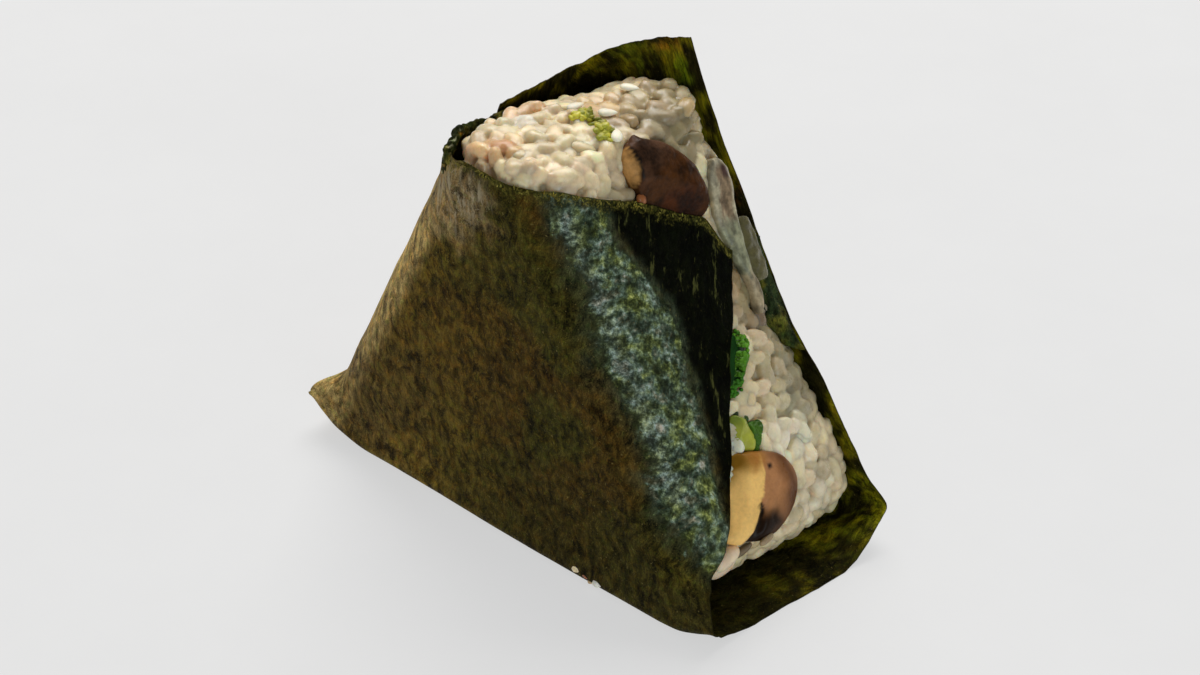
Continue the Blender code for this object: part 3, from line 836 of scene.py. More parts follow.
class Graph:
    """Adds nodes to one shader tree and joins them."""

    def __init__(self, tree: bpy.types.NodeTree) -> None:
        """Keeps the tree that the nodes go in."""
        self.tree = tree

    def feed(self, node: bpy.types.Node, **inputs: Value) -> None:
        """Set a node's inputs, or link outputs to them, by name with _ for a space, or in_0.

        Args:
            node: the node.
            inputs: values or output sockets by input.
        """
        for key, value in inputs.items():
            key = key.replace("_", " ")
            socket = node.inputs[int(key[3:]) if key.startswith("in ") else key]
            if isinstance(value, Socket):
                self.tree.links.new(value, socket)
            else:
                socket.default_value = value

    def add(self, kind: str, settings: dict | None = None,
            **inputs: Value) -> bpy.types.Node:
        """One node.

        Args:
            kind: the node's type, without the ShaderNode in front.
            settings: the node's own properties.
            inputs: values or output sockets for its inputs.

        Returns:
            The new node.
        """
        node = self.tree.nodes.new("ShaderNode" + kind)
        for key, value in (settings or {}).items():
            setattr(node, key, value)
        self.feed(node, **inputs)
        return node

    def kept(self, name: str) -> Socket:
        """A vector kept on the mesh."""
        node = self.add("Attribute", {"attribute_type": "GEOMETRY", "attribute_name": name})
        return node.outputs["Vector"]

    def mix(self, share: Value, a: Value, b: Value, kind: str = "MIX") -> Socket:
        """Two colours mixed by a share, in one of the ways that Blender has."""
        settings = {"data_type": "RGBA", "blend_type": kind}
        return self.add("Mix", settings, in_0=share, in_6=a, in_7=b).outputs[2]

    def maths(self, operation: str, a: Value, b: Value = 0.0, c: Value = 0.0) -> Socket:
        """Arithmetic on numbers."""
        return self.add("Math", {"operation": operation}, in_0=a, in_1=b, in_2=c).outputs[0]

    def times(self, a: Value, b: Value, plus: Value = 0.0) -> Socket:
        """Product of two numbers, with a third added to it."""
        return self.maths("MULTIPLY_ADD", a, b, plus)

    def brighter(self, colour: Value, amount: Value) -> Socket:
        """A colour times a number."""
        return self.add("VectorMath", {"operation": "SCALE"}, in_0=colour, Scale=amount).outputs[0]

    def stretched(self, place: Socket, scale: Triple, turn: float = 0.0) -> Socket:
        """Places turned in the sheet and then scaled."""
        return self.add("Mapping", None, Vector=place, Rotation=(0.0, 0.0, turn),
                        Scale=scale).outputs[0]

    def noise(self, place: Socket, scale: Value, detail: float = 3.0, rough: float = 0.55,
              warp: float = 0.0) -> Socket:
        """Noise as a number from 0 to 1."""
        return self.add("TexNoise", None, Vector=place, Scale=scale, Detail=detail,
                        Roughness=rough, Distortion=warp).outputs["Fac"]

    def ramp(self, value: Socket, stops: Sequence[tuple[float, Colour]]) -> Socket:
        """Colours along a number, with the place and colour of each stop.

        Args:
            value: the number.
            stops: place and colour of each stop.

        Returns:
            The colour's socket.
        """
        node = self.add("ValToRGB", None, Fac=value)
        elements = node.color_ramp.elements
        while len(elements) < len(stops):
            elements.new(0.5)
        for element, (at, colour) in zip(elements, stops):
            element.position = at
            element.color = (*colour, 1.0)
        return node.outputs["Color"]

    def span(self, value: Value, low: float, high: float, to_low: float = 0.0,
             to_high: float = 1.0) -> Socket:
        """A number moved from one range to another, smoothly and clamped.

        Args:
            value: the number.
            low: where the first range starts.
            high: where it ends.
            to_low: where the second range starts.
            to_high: where it ends.

        Returns:
            The moved number's socket.
        """
        return self.add("MapRange", {"interpolation_type": "SMOOTHSTEP"}, Value=value,
                        From_Min=low, From_Max=high, To_Min=to_low,
                        To_Max=to_high).outputs["Result"]


class Group(Graph):
    """Shader group that several finishes use."""

    made: dict[str, bpy.types.NodeTree] = {}

    def given(self, label: str, default: float | Colour | None = None) -> Socket:
        """New input of the group: a vector without a default, else a number or a colour.

        Args:
            label: the input's name.
            default: its value where none is given.

        Returns:
            The socket inside the group.
        """
        kind = "Vector" if default is None else "Color" if isinstance(default, tuple) else "Float"
        socket = self.tree.interface.new_socket(label, in_out="INPUT",
                                                socket_type="NodeSocket" + kind)
        if default is not None:
            socket.default_value = default
        return self.tree.nodes.new("NodeGroupInput").outputs[label]

    def give(self, **outputs: Socket) -> None:
        """All the outputs of the group.

        Args:
            outputs: sockets inside the group, by the output's name.
        """
        for label in outputs:
            kind = "NodeSocketColor" if label == "Colour" else "NodeSocketFloat"
            self.tree.interface.new_socket(label, in_out="OUTPUT", socket_type=kind)
        self.feed(self.tree.nodes.new("NodeGroupOutput"), **outputs)

    @classmethod
    def use(cls, g: Graph, build: Callable[["Group"], None],
            **inputs: Value) -> bpy.types.Node:
        """Place a group in a material with its own values.

        Args:
            g: the material's graph.
            build: fills the group, the first time.
            inputs: values or sockets for the group's inputs.

        Returns:
            The group's node.
        """
        name = build.__name__
        if name not in cls.made:
            cls.made[name] = bpy.data.node_groups.new(name, "ShaderNodeTree")
            build(cls(cls.made[name]))
        node = g.tree.nodes.new("ShaderNodeGroup")
        node.node_tree = cls.made[name]
        g.feed(node, **inputs)
        return node


def soft_mottle(g: Group) -> None:
    """Colour broken up by soft patches and by finer specks.

    Args:
        g: the group to fill.
    """
    place = g.given("Place")
    colour = g.given("Colour", (0.5, 0.5, 0.5, 1.0))
    patch = g.noise(place, g.given("Patch Scale", 200.0), 2.0, 0.5)
    speck = g.noise(place, g.given("Speck Scale", 1500.0), 4.0, 0.65)
    amount = g.times(g.span(patch, 0.32, 0.68, -1.0, 1.0), g.given("Patch Depth", 0.2), 1.0)
    fine = g.span(speck, 0.30, 0.70, -1.0, 1.0)
    g.give(Colour=g.brighter(colour, g.times(fine, g.given("Speck Depth", 0.1), amount)))


def skin_relief(g: Group) -> None:
    """Height of a soft skin with fine pits.

    Args:
        g: the group to fill.
    """
    place = g.given("Place")
    scale = g.given("Scale", 900.0)
    cells = g.add("TexVoronoi", {"feature": "SMOOTH_F1"}, Vector=place,
                  Scale=g.times(scale, 2.3), Smoothness=0.6).outputs["Distance"]
    g.give(Height=g.times(cells, g.given("Pits", 0.3), g.noise(place, scale, 4.0, 0.6)))


def damp_gloss(g: Group) -> None:
    """Roughness of a surface that is wetter in places.

    Args:
        g: the group to fill.
    """
    share = g.span(g.noise(g.given("Place"), g.given("Scale", 300.0), 3.0, 0.6), 0.35, 0.65)
    wet = g.given("Wet", 0.25)
    g.give(Roughness=g.times(share, g.maths("SUBTRACT", g.given("Dry", 0.5), wet), wet))


def seaweed_strands(g: Group) -> None:
    """Matted strands of pressed seaweed, as a brightness and a height.

    Args:
        g: the group to fill.
    """
    place = g.given("Place")
    bend = g.add("TexNoise", None, Vector=place, Scale=260.0, Detail=2.0).outputs["Color"]
    bend = g.add("VectorMath", {"operation": "MULTIPLY_ADD"}, in_0=bend,
                 in_1=(0.0028, 0.0028, 0.0), in_2=place).outputs[0]
    broad = g.noise(place, 150.0, 3.0, 0.6)
    clump = g.noise(g.stretched(bend, (1.0, 0.55, 1.0)), g.given("Clump Scale", 420.0), 5.0, 0.68)
    size = g.given("Strand Scale", 900.0)
    strands = []
    for turn, along in ((0.45, 0.20), (-0.60, 0.24)):
        wave = g.noise(g.stretched(bend, (1.0, along, 1.0), turn), size, 3.0, 0.6)
        off = g.maths("ABSOLUTE", g.maths("SUBTRACT", wave, 0.5))
        strands.append(g.span(off, 0.0, 0.065, 1.0, 0.0))
    strand = g.maths("MAXIMUM", strands[0], g.times(strands[1], 0.8))
    strand = g.times(strand, g.span(clump, 0.40, 0.62, 0.10, 1.0))
    grain = g.noise(place, g.given("Grain Scale", 2600.0), 2.0, 0.7)
    level = g.maths("ADD", g.span(clump, 0.33, 0.68, -0.50, 0.55),
                    g.span(broad, 0.32, 0.68, -0.25, 0.25))
    level = g.times(strand, 1.05, level)
    level = g.maths("ADD", level, g.span(grain, 0.33, 0.67, -0.30, 0.36))
    height = g.times(grain, 0.35, g.times(strand, 0.5, g.times(clump, 1.3)))
    g.give(Level=g.maths("MAXIMUM", g.times(level, 1.0, 0.78), 0.10), Height=height)


def new_material(name: str) -> tuple[bpy.types.Material, Graph, bpy.types.Node]:
    """A material, its graph and its Principled BSDF.

    Args:
        name: its name.

    Returns:
        The three of them.
    """
    made = bpy.data.materials.new(name)
    made.use_nodes = True
    return made, Graph(made.node_tree), made.node_tree.nodes["Principled BSDF"]


@dataclass(frozen=True)
class FoodFinish:
    """Finish of a moist food surface whose colours are kept on the mesh."""

    name: str
    patch_scale: float = 220.0
    patch_depth: float = 0.14
    speck_depth: float = 0.10
    relief_scale: float = 900.0
    pits: float = 0.3
    bump: float = 0.35
    bump_reach: float = 0.12 * MM
    wet: float = 0.26
    dry: float = 0.48
    inner_glow: float = 0.0
    glow_radius: Colour = (1.0, 0.6, 0.35)
    glow_depth: float = 0.8 * MM
    coat: float = 0.0
    shine: float = 0.35

    def material(self) -> bpy.types.Material:
        """A new material, or the one of this name if it is made already.

        Returns:
            The material.
        """
        if self.name in bpy.data.materials:
            return bpy.data.materials[self.name]
        made, g, shader = new_material(self.name)
        place = g.add("TexCoord").outputs["Object"]
        mottle = Group.use(g, soft_mottle, Place=place, Colour=g.kept("tone"),
                           Patch_Scale=self.patch_scale, Speck_Scale=1600.0,
                           Patch_Depth=self.patch_depth, Speck_Depth=self.speck_depth)
        damp = Group.use(g, damp_gloss, Place=place, Scale=1.6 * self.patch_scale,
                         Wet=self.wet, Dry=self.dry)
        relief = Group.use(g, skin_relief, Place=place, Scale=self.relief_scale, Pits=self.pits)
        bump = g.add("Bump", None, Strength=self.bump, Distance=self.bump_reach,
                     Height=relief.outputs["Height"])
        g.feed(shader, Base_Color=mottle.outputs["Colour"], Roughness=damp.outputs["Roughness"],
               Normal=bump.outputs["Normal"], Subsurface_Weight=self.inner_glow,
               Subsurface_Radius=self.glow_radius, Subsurface_Scale=self.glow_depth,
               Specular_IOR_Level=self.shine, Coat_Weight=self.coat, Coat_Roughness=0.2)
        return made


RICE_FINISH = FoodFinish("steamed_rice", 420.0, 0.07, 0.05, 800.0, 0.15, 0.3, 0.10 * MM,
                         0.24, 0.46, 0.9, (1.0, 0.74, 0.46), 1.9 * MM, shine=0.5)
SEED_FINISH = FoodFinish("sesame_hull", patch_depth=0.06, speck_depth=0.05, wet=0.34, dry=0.5,
                         inner_glow=0.25, glow_depth=0.4 * MM)
CRUMB_FINISH = FoodFinish("chopped_herb", patch_depth=0.3, speck_depth=0.2, wet=0.3, dry=0.5,
                          inner_glow=0.15, glow_radius=(0.6, 1.0, 0.2), glow_depth=0.4 * MM)
CAP_FINISH = FoodFinish("dark_mushroom_skin", 300.0, 0.55, 0.22, 520.0, 0.4, 0.8, 0.28 * MM,
                        0.22, 0.5, coat=0.03, shine=0.07)
FLESH_FINISH = FoodFinish("golden_cut_flesh", 220.0, 0.07, 0.07, 420.0, 0.12, 0.25,
                          dry=0.42, inner_glow=0.12, glow_radius=(1.0, 0.55, 0.25),
                          glow_depth=0.35 * MM, shine=0.09)
BUD_FINISH = FoodFinish("green_buds", 420.0, 0.25, 0.15, wet=0.3, dry=0.5, inner_glow=0.1,
                        glow_radius=(0.4, 1.0, 0.1), glow_depth=0.3 * MM, shine=0.15)
STEM_FINISH = FoodFinish("yellow_green_stalk", 260.0, 0.14, 0.06, wet=0.2, dry=0.36,
                         inner_glow=0.2, glow_radius=(0.7, 1.0, 0.1), glow_depth=0.6 * MM,
                         coat=0.15, shine=0.2)
STALK_FINISH = FoodFinish("fibrous_stalk", 500.0, 0.20, 0.20, 1100.0, bump=0.6, wet=0.28,
                          dry=0.5, inner_glow=0.1, glow_depth=0.4 * MM, shine=0.25)
SLICE_FINISH = FoodFinish("olive_slice_skin", 350.0, 0.22, 0.12, wet=0.22, dry=0.4,
                          inner_glow=0.15, glow_radius=(0.8, 1.0, 0.4), glow_depth=0.5 * MM,
                          shine=0.25)


@dataclass(frozen=True)
class Spot:
    """Place on the food where the colour changes."""

    place: Triple
    reach: float
    colour: Colour
    strength: float


@dataclass(frozen=True)
class NoriFinish:
    """Finish of the dried seaweed: matt strands, a glossier ridge with painted sheen, painted shade
    past it and thin worn places.
    """

    brown: Colour = (0.054, 0.033, 0.0060)
    olive: Colour = (0.042, 0.036, 0.0062)
    low: Colour = (0.036, 0.029, 0.0058)
    # Painted light: the front panel is painted lighter towards its left, the side the light falls
    # on.
    lit_left_side: Colour = (0.128, 0.082, 0.0135)
    # Painted sheen: the ridge colour stands in for light glancing off the band along the front
    # right ridge.
    ridge: Colour = (0.052, 0.068, 0.040)
    # Painted shade: nearly black where the sheet turns past the ridge band, away from the light.
    dark: Colour = (0.0017, 0.0023, 0.0004)
    lit_edge: Colour = (0.42, 0.30, 0.115)
    fuzz: Colour = (0.120, 0.105, 0.022)
    inner: Colour = (0.0165, 0.0145, 0.0028)
    inner_olive: Colour = (0.20, 0.175, 0.0060)
    ridge_height: Row = (
        0.010, 0.015, 0.022, 0.029, 0.037, 0.044, 0.052, 0.060, 0.066)
    ridge_left: Row = (
        0.0060, 0.0056, 0.0052, 0.0050, 0.0054, 0.0064, 0.0060, 0.0064, 0.0072)
    ridge_right: Row = (
        0.0120, 0.0142, 0.0176, 0.0192, 0.0206, 0.0208, 0.0196, 0.0170, 0.0142)
    spots_inside_from: float = 30.0 * MM
    spots: tuple[Spot, ...] = (
        Spot((-0.0103, 0.0014, 0.0625), 0.0095, (0.235, 0.165, 0.075), 0.85),
        Spot((-0.0044, 0.0012, 0.0640), 0.0060, (0.130, 0.098, 0.052), 0.7),
        Spot((0.0400, 0.0050, 0.0120), 0.0055, (0.090, 0.072, 0.007), 0.8),
        Spot((-0.0340, 0.0015, 0.0110), 0.0130, (0.085, 0.056, 0.020), 0.55),
        Spot((-0.0240, 0.0012, 0.0199), 0.0130, (0.062, 0.042, 0.013), 0.5),
        Spot((-0.0005, 0.0430, 0.0762), 0.0036, (0.30, 0.155, 0.012), 0.9),
        Spot((0.0015, 0.0425, 0.0730), 0.0032, (0.17, 0.24, 0.008), 0.9),
        Spot((-0.0060, 0.0415, 0.0725), 0.0055, (0.10, 0.115, 0.006), 0.8),
        Spot((0.0160, 0.0425, 0.0550), 0.0030, (0.100, 0.034, 0.010), 0.7),
        Spot((0.0435, 0.0425, 0.0050), 0.0080, (0.240, 0.235, 0.006), 0.8),
        Spot((0.0460, 0.0360, 0.0030), 0.0060, (0.075, 0.078, 0.004), 0.7),
        Spot((0.0270, 0.0425, 0.0380), 0.0050, (0.014, 0.040, 0.022), 0.7),
    )

    def sheen_band_shares(self, p: Array, strip: NoriStrip) -> tuple[Array, Array]:
        """How much points lie on the band of painted sheen and coat along the front right ridge,
        and in the painted shade past it.

        Args:
            p: points in the block's coordinates.
            strip: the sheet.

        Returns:
            Two shares for each point.
        """
        block = strip.block
        s = block.past_slope(p, True)
        axis = block.front + block.ridge
        turn = np.arctan2(np.maximum(s, 0.0), np.maximum(axis - p[:, 1], 1e-9))
        around = np.where(s < 0.0, s, turn * block.ridge + np.maximum(p[:, 1] - axis, 0.0))
        left, right = (np.interp(p[:, 2], self.ridge_height, side)
                       for side in (self.ridge_left, self.ridge_right))
        past = ease(-3.0 * MM, 0.8 * MM, around - right)
        past = past * ((p[:, 1] < 0.9 * block.depth) & (p[:, 0] > -0.002))
        around = around + 1.9 * MM * strip.noise.layered(p, 6.0 * MM, 4)
        share = ease(-2.8 * MM, 4.2 * MM, around - left)
        share = share * fade(-2.5 * MM, 1.5 * MM, around - right)
        return share * ease(0.010, 0.016, p[:, 2]) * (p[:, 1] < 0.75 * block.depth), past

    def tones(self, p: Array, inside: Array, strip: NoriStrip) -> Array:
        """Colour of the sheet by place.

        Args:
            p: points in the block's coordinates.
            inside: 1 on the inner face, 0 on the outer.
            strip: the sheet.

        Returns:
            A colour for each point.
        """
        x, y, z = p.T
        block, noise = strip.block, strip.noise.layered
        share, past = self.sheen_band_shares(p, strip)
        mixed = 0.60 + 0.40 * ease(-0.35, 0.35, noise(p + 0.6, 9.0 * MM, 3))
        lit = ease(0.8 * MM, 4.5 * MM, block.past_slope(p, False))
        lit = lit * fade(0.5 * block.ridge, block.ridge, y)
        # Among these layers, the lighter left side and the lit edge are painted light, the nearly
        # black colour past the ridge band is painted shade, and the ridge colour is painted sheen.
        base = painted(self.brown, len(p), (
            (self.olive, ease(-0.30, 0.40, noise(p, 13.0 * MM, 3))),
            (self.low, 0.8 * fade(0.004, 0.030, z)),
            (self.lit_left_side, mixed * fade(-0.034, 0.012, x)),
            (self.dark, past * ease(0.012, 0.022, z)),
            (self.ridge, share),
            (self.lit_edge, 0.88 * lit)))
        shown = np.maximum(ease(0.012, 0.034, y) * ease(0.030, 0.040, x), ease(0.004, 0.022, z))
        patches = ease(-0.05, 0.55, noise(p + 0.3, 4.5 * MM, 3)) * (0.08 + 0.92 * shown)
        lined = painted(self.inner, len(p), ((self.inner_olive, 0.75 * patches),))
        wide = 1.25 + 0.4 * noise(p, 2.5 * MM, 2)
        broken = 1.0 - inside * fade(-0.3, 0.5, noise(p + 0.9, 1.5 * MM, 2))
        layers = []
        for spot in self.spots:
            near = near_place(p, spot.place, spot.reach * wide) * broken
            if spot.place[1] > self.spots_inside_from:
                near = near * inside
            layers.append((spot.colour, spot.strength * near))
        return painted(np.where(inside[:, None] > 0.5, lined, base), 1, layers)

    def zones(self, p: Array, inside: Array, strip: NoriStrip) -> Array:
        """Shares of the ridge band's coat and painted sheen (below 0 in the painted shade past it),
        worn strands and inner face.

        Args:
            p: points in the block's coordinates.
            inside: 1 on the inner face, 0 on the outer.
            strip: the sheet.

        Returns:
            Three shares for each point.
        """
        gloss_sheen_shade, past = self.sheen_band_shares(p, strip)
        gloss_sheen_shade = (gloss_sheen_shade - past * (1.0 - gloss_sheen_shade)) * (1.0 - inside)
        worn = np.maximum(*(near_place(p, spot.place, spot.reach) for spot in self.spots[:2]))
        return np.stack([gloss_sheen_shade, worn * (1.0 - inside), inside], axis=1)

    def material(self) -> bpy.types.Material:
        """The sheet's material, made once.

        Returns:
            The material.
        """
        if "dried_seaweed" in bpy.data.materials:
            return bpy.data.materials["dried_seaweed"]
        made, g, shader = new_material("dried_seaweed")
        sheet = g.kept("sheet_place")
        gloss_sheen_shade, worn = g.add("SeparateXYZ", None, Vector=g.kept("zone")).outputs[:2]
        across, along = g.add("SeparateXYZ", None, Vector=sheet).outputs[:2]
        weed = Group.use(g, seaweed_strands, Place=sheet, Clump_Scale=640.0,
                         Strand_Scale=1350.0, Grain_Scale=3600.0)
        base = g.brighter(g.kept("tone"), weed.outputs["Level"])
        for noise, low, high, tint in (
                (g.noise(sheet, 420.0, 6.0, 0.75), 0.46, 0.62, (1.35, 1.0, 0.60, 1.0)),
                (g.noise(sheet, 640.0, 6.0, 0.75, 0.4), 0.50, 0.64, (0.85, 1.25, 0.8, 1.0))):
            tinted = g.mix(1.0, base, tint, "MULTIPLY")
            base = g.mix(g.times(g.span(noise, low, high), 0.55), base, tinted)
        # Painted sheen: in the ridge band, silver, green and blue flecks stand in for light
        # glancing off the crinkled sheet, beside the coat's real gloss. The zone's first share is
        # the ridge band, below 0 in the painted shade past it.
        spark = g.times(g.noise(sheet, 980.0, 5.0, 0.76, 0.25), 0.55)
        spark = g.times(g.noise(sheet, 330.0, 3.0, 0.6), 0.45, spark)
        broken = g.maths("SUBTRACT", g.noise(sheet, 210.0, 5.0, 0.72), 0.5)
        band = g.span(g.maths("ADD", gloss_sheen_shade, broken), 0.10, 0.85)
        band = g.times(band, g.span(gloss_sheen_shade, 0.0, 0.15))
        lifted = g.times(band, 0.16, g.maths("SUBTRACT", spark, 0.16))
        painted_sheen_flecks = g.ramp(lifted, ((0.40, (0.011, 0.014, 0.006)), (0.455, (0.036, 0.045, 0.026)),
                                 (0.505, (0.088, 0.108, 0.064)), (0.56, (0.21, 0.245, 0.15)),
                                 (0.63, (0.56, 0.58, 0.46))))
        hue = g.ramp(g.noise(sheet, 290.0, 3.0, 0.6), (
            (0.38, (1.10, 1.10, 0.42)), (0.47, (0.98, 1.08, 0.78)), (0.56, (0.76, 0.95, 1.12)),
            (0.66, (1.25, 1.02, 1.0))))
        sheen_share = g.times(g.span(lifted, 0.46, 0.54), g.span(band, 0.0, 0.3))
        sheen_share = g.maths("MAXIMUM", g.times(band, 0.85), sheen_share)
        glint = g.span(g.noise(sheet, 1500.0, 4.0, 0.72, 0.3), 0.615, 0.69)
        from_edge = g.times(g.noise(sheet, 800.0, 4.0, 0.7), -0.0065, along)
        fuzzy = g.times(g.span(from_edge, -0.0032, -0.0014, 1.0, 0.0),
                        g.span(across, 0.034, 0.042))
        weedy = g.ramp(g.noise(sheet, 1700.0, 4.0, 0.7, 0.4), (
            (0.40, (0.012, 0.014, 0.003)), (0.52, (0.075, 0.072, 0.012)),
            (0.62, (0.26, 0.22, 0.045))))
        hanging = g.stretched(sheet, (1.0, 0.24, 1.0))
        bare = g.maths("MAXIMUM", g.span(g.noise(sheet, 900.0, 5.0, 0.78, 0.8), 0.55, 0.66),
                       g.span(g.noise(hanging, 700.0, 4.0, 0.7), 0.50, 0.62))
        streak = g.times(g.span(g.noise(hanging, 520.0, 5.0, 0.68), 0.575, 0.66),
                         g.span(gloss_sheen_shade, -1.0, -0.3, 1.0, 0.0))
        for share, colour in (
                (sheen_share, g.mix(1.0, painted_sheen_flecks, hue, "MULTIPLY")),
                (g.times(glint, g.span(gloss_sheen_shade, -0.6, 0.0, 0.1, 0.6)), (0.26, 0.205, 0.07, 1.0)),
                (g.times(fuzzy, 0.85), weedy),
                (g.times(g.times(bare, worn), 0.75), (0.46, 0.39, 0.25, 1.0)),
                (g.times(streak, 0.85), (0.085, 0.088, 0.024, 1.0))):
            base = g.mix(share, base, colour)
        bump = g.add("Bump", None, Strength=0.9, Distance=0.22 * MM, Height=weed.outputs["Height"])
        rough = g.span(g.noise(sheet, 900.0, 4.0, 0.7), 0.35, 0.65, 0.48, 0.72)
        g.feed(shader, Base_Color=base, Roughness=rough, Specular_IOR_Level=0.025,
               Coat_Weight=g.times(g.span(lifted, 0.45, 0.58, 0.05, 0.6), band),
               Coat_Roughness=0.26, Normal=bump.outputs["Normal"])
        return made


class Cover:
    """Where the nori lies on the block, for what has to stay under it."""

    def __init__(self, strip: NoriStrip) -> None:
        """Samples the sheet's inner face and drops it onto the block.

        Args:
            strip: the sheet.
        """
        self.block = strip.block
        u = np.linspace(0.0, 1.0, 97)
        zero = np.zeros(len(u))
        p = np.concatenate([strip.places(run, u, zero + t, zero) for run, t in strip.stations()])
        self._tree = tree_of(self.block.onto(p[self.block.distance(p) < 2.5 * MM]))

    def bare(self, p: Array) -> Array:
        """Distance of points over the surface from the nearest covered place."""
        foot = p - self.block.outward(p) * self.block.distance(p)[:, None]
        return np.array([self._tree.find(q)[2] for q in foot]) - 0.45 * MM

    def press(self, p: Array, low: float = 0.10 * MM, steep: float = 1.5) -> Array:
        """Points held under the nori and lowered towards its free edges.

        Args:
            p: points in the block's coordinates.
            low: greatest height over the block under the sheet.
            steep: how fast the height may grow away from the sheet's edge.

        Returns:
            The points, moved inward where they stood too high.
        """
        h = self.block.distance(p)
        high = h > low
        moved = p.copy()
        if high.any():
            q = p[high]
            limit = low + steep * np.maximum(self.bare(q), 0.0)
            over = np.maximum(h[high] - limit, 0.0)
            moved[high] = q - self.block.outward(q) * over[:, None]
        return moved


class Footprint:
    """Outline on the rice that a filling covers, in steps down the slope and back."""

    def __init__(self, block: PressedBlock, place: Sequence[float],
                 outline: Sequence[tuple[float, float]]) -> None:
        """Keeps the outline.

        Args:
            block: the rice's form.
            place: the middle of the filling.
            outline: corners in millimetres down the slope and towards the back.
        """
        self.block = block
        self.centre, self.axes = block.patch_frame(place)
        self.outline = np.array(outline) * MM
        self.middle = self.outline.mean(axis=0)

    def radius(self, directions: Array, soften: int = 3) -> Array:
        """Distance of the outline from its middle.

        Args:
            directions: evenly spaced round the circle.
            soften: how often the corners are rounded off.

        Returns:
            A distance for each direction.
        """
        corners = self.outline - self.middle
        r = np.zeros(len(directions))
        x, y = directions.T
        for a, b in zip(corners, np.roll(corners, -1, axis=0)):
            edge = b - a
            cross = x * edge[1] - y * edge[0]
            safe = np.where(np.abs(cross) < 1e-12, 1e-12, cross)
            reach = (a[0] * edge[1] - a[1] * edge[0]) / safe
            t = (a[0] * y - a[1] * x) / safe
            hit = (reach > 0.0) & (t >= -1e-6) & (t <= 1.0 + 1e-6)
            r = np.where(hit, np.maximum(r, reach), r)
        for _ in range(soften):
            r = 0.5 * r + 0.25 * (np.roll(r, 1) + np.roll(r, -1))
        return r

    def lay(self, ab: Array, rise: Array) -> Array:
        """Points over the surface, by place down the slope and back, and by height.

        Args:
            ab: places down the slope and back.
            rise: height of each place.

        Returns:
            Points in the block's coordinates.
        """
        flat = self.centre + ab[:, :1] * self.axes[0] + ab[:, 1:2] * self.axes[1]
        laid = self.block.onto(flat)
        return laid + self.block.outward(laid) * rise[:, None]

    def samples(self, shrink: float) -> Array:
        """Points of the surface under the filling, with its edge drawn in.

        Args:
            shrink: how far they stay inside the outline.

        Returns:
            Points in the block's coordinates.
        """
        _, around = circle(28)
        r = np.maximum(self.radius(around) - shrink, 0.0)[:, None]
        ab = np.concatenate([self.middle + share * r * around for share in (0.0, 0.35, 0.7, 1.0)])
        return self.lay(ab, np.zeros(len(ab)))


@dataclass(frozen=True)
class Patch:
    """Area of a filling with a colour of its own, as an outline in millimetres."""

    outline: tuple[tuple[float, float], ...]
    colour: Colour
    soft: float = 0.35
    wobble: float = 0.25

    def inside(self, ab: Array) -> Array:
        """Distance inside the outline, below zero outside it.

        Args:
            ab: places down the slope and back.

        Returns:
            A distance for each place.
        """
        poly = np.array(self.outline) * MM
        within = np.zeros(len(ab), bool)
        away = np.full(len(ab), np.inf)
        for a, b in zip(poly, np.roll(poly, -1, axis=0)):
            edge = b - a
            t = np.clip((ab - a) @ edge / (edge @ edge), 0.0, 1.0)
            away = np.minimum(away, np.linalg.norm(ab - a - t[:, None] * edge, axis=1))
            crosses = (a[1] > ab[:, 1]) != (b[1] > ab[:, 1])
            slope = edge[0] / (edge[1] or 1e-12)
            within ^= crosses & (ab[:, 0] < a[0] + (ab[:, 1] - a[1]) * slope)
        return np.where(within, away, -away)

    def share(self, ab: Array, noise: SoftNoise) -> Array:
        """How much each place belongs to the patch, 0 to 1.

        Args:
            ab: places down the slope and back.
            noise: source of the unevenness.

        Returns:
            A share for each place.
        """
        flat = np.column_stack([ab, np.zeros(len(ab))])
        shift = np.stack([noise.layered(flat + d, 1.4 * MM, 2) for d in (0.0, 0.05)], axis=1)
        return ease(-self.soft * MM, self.soft * MM, self.inside(ab + self.wobble * MM * shift))


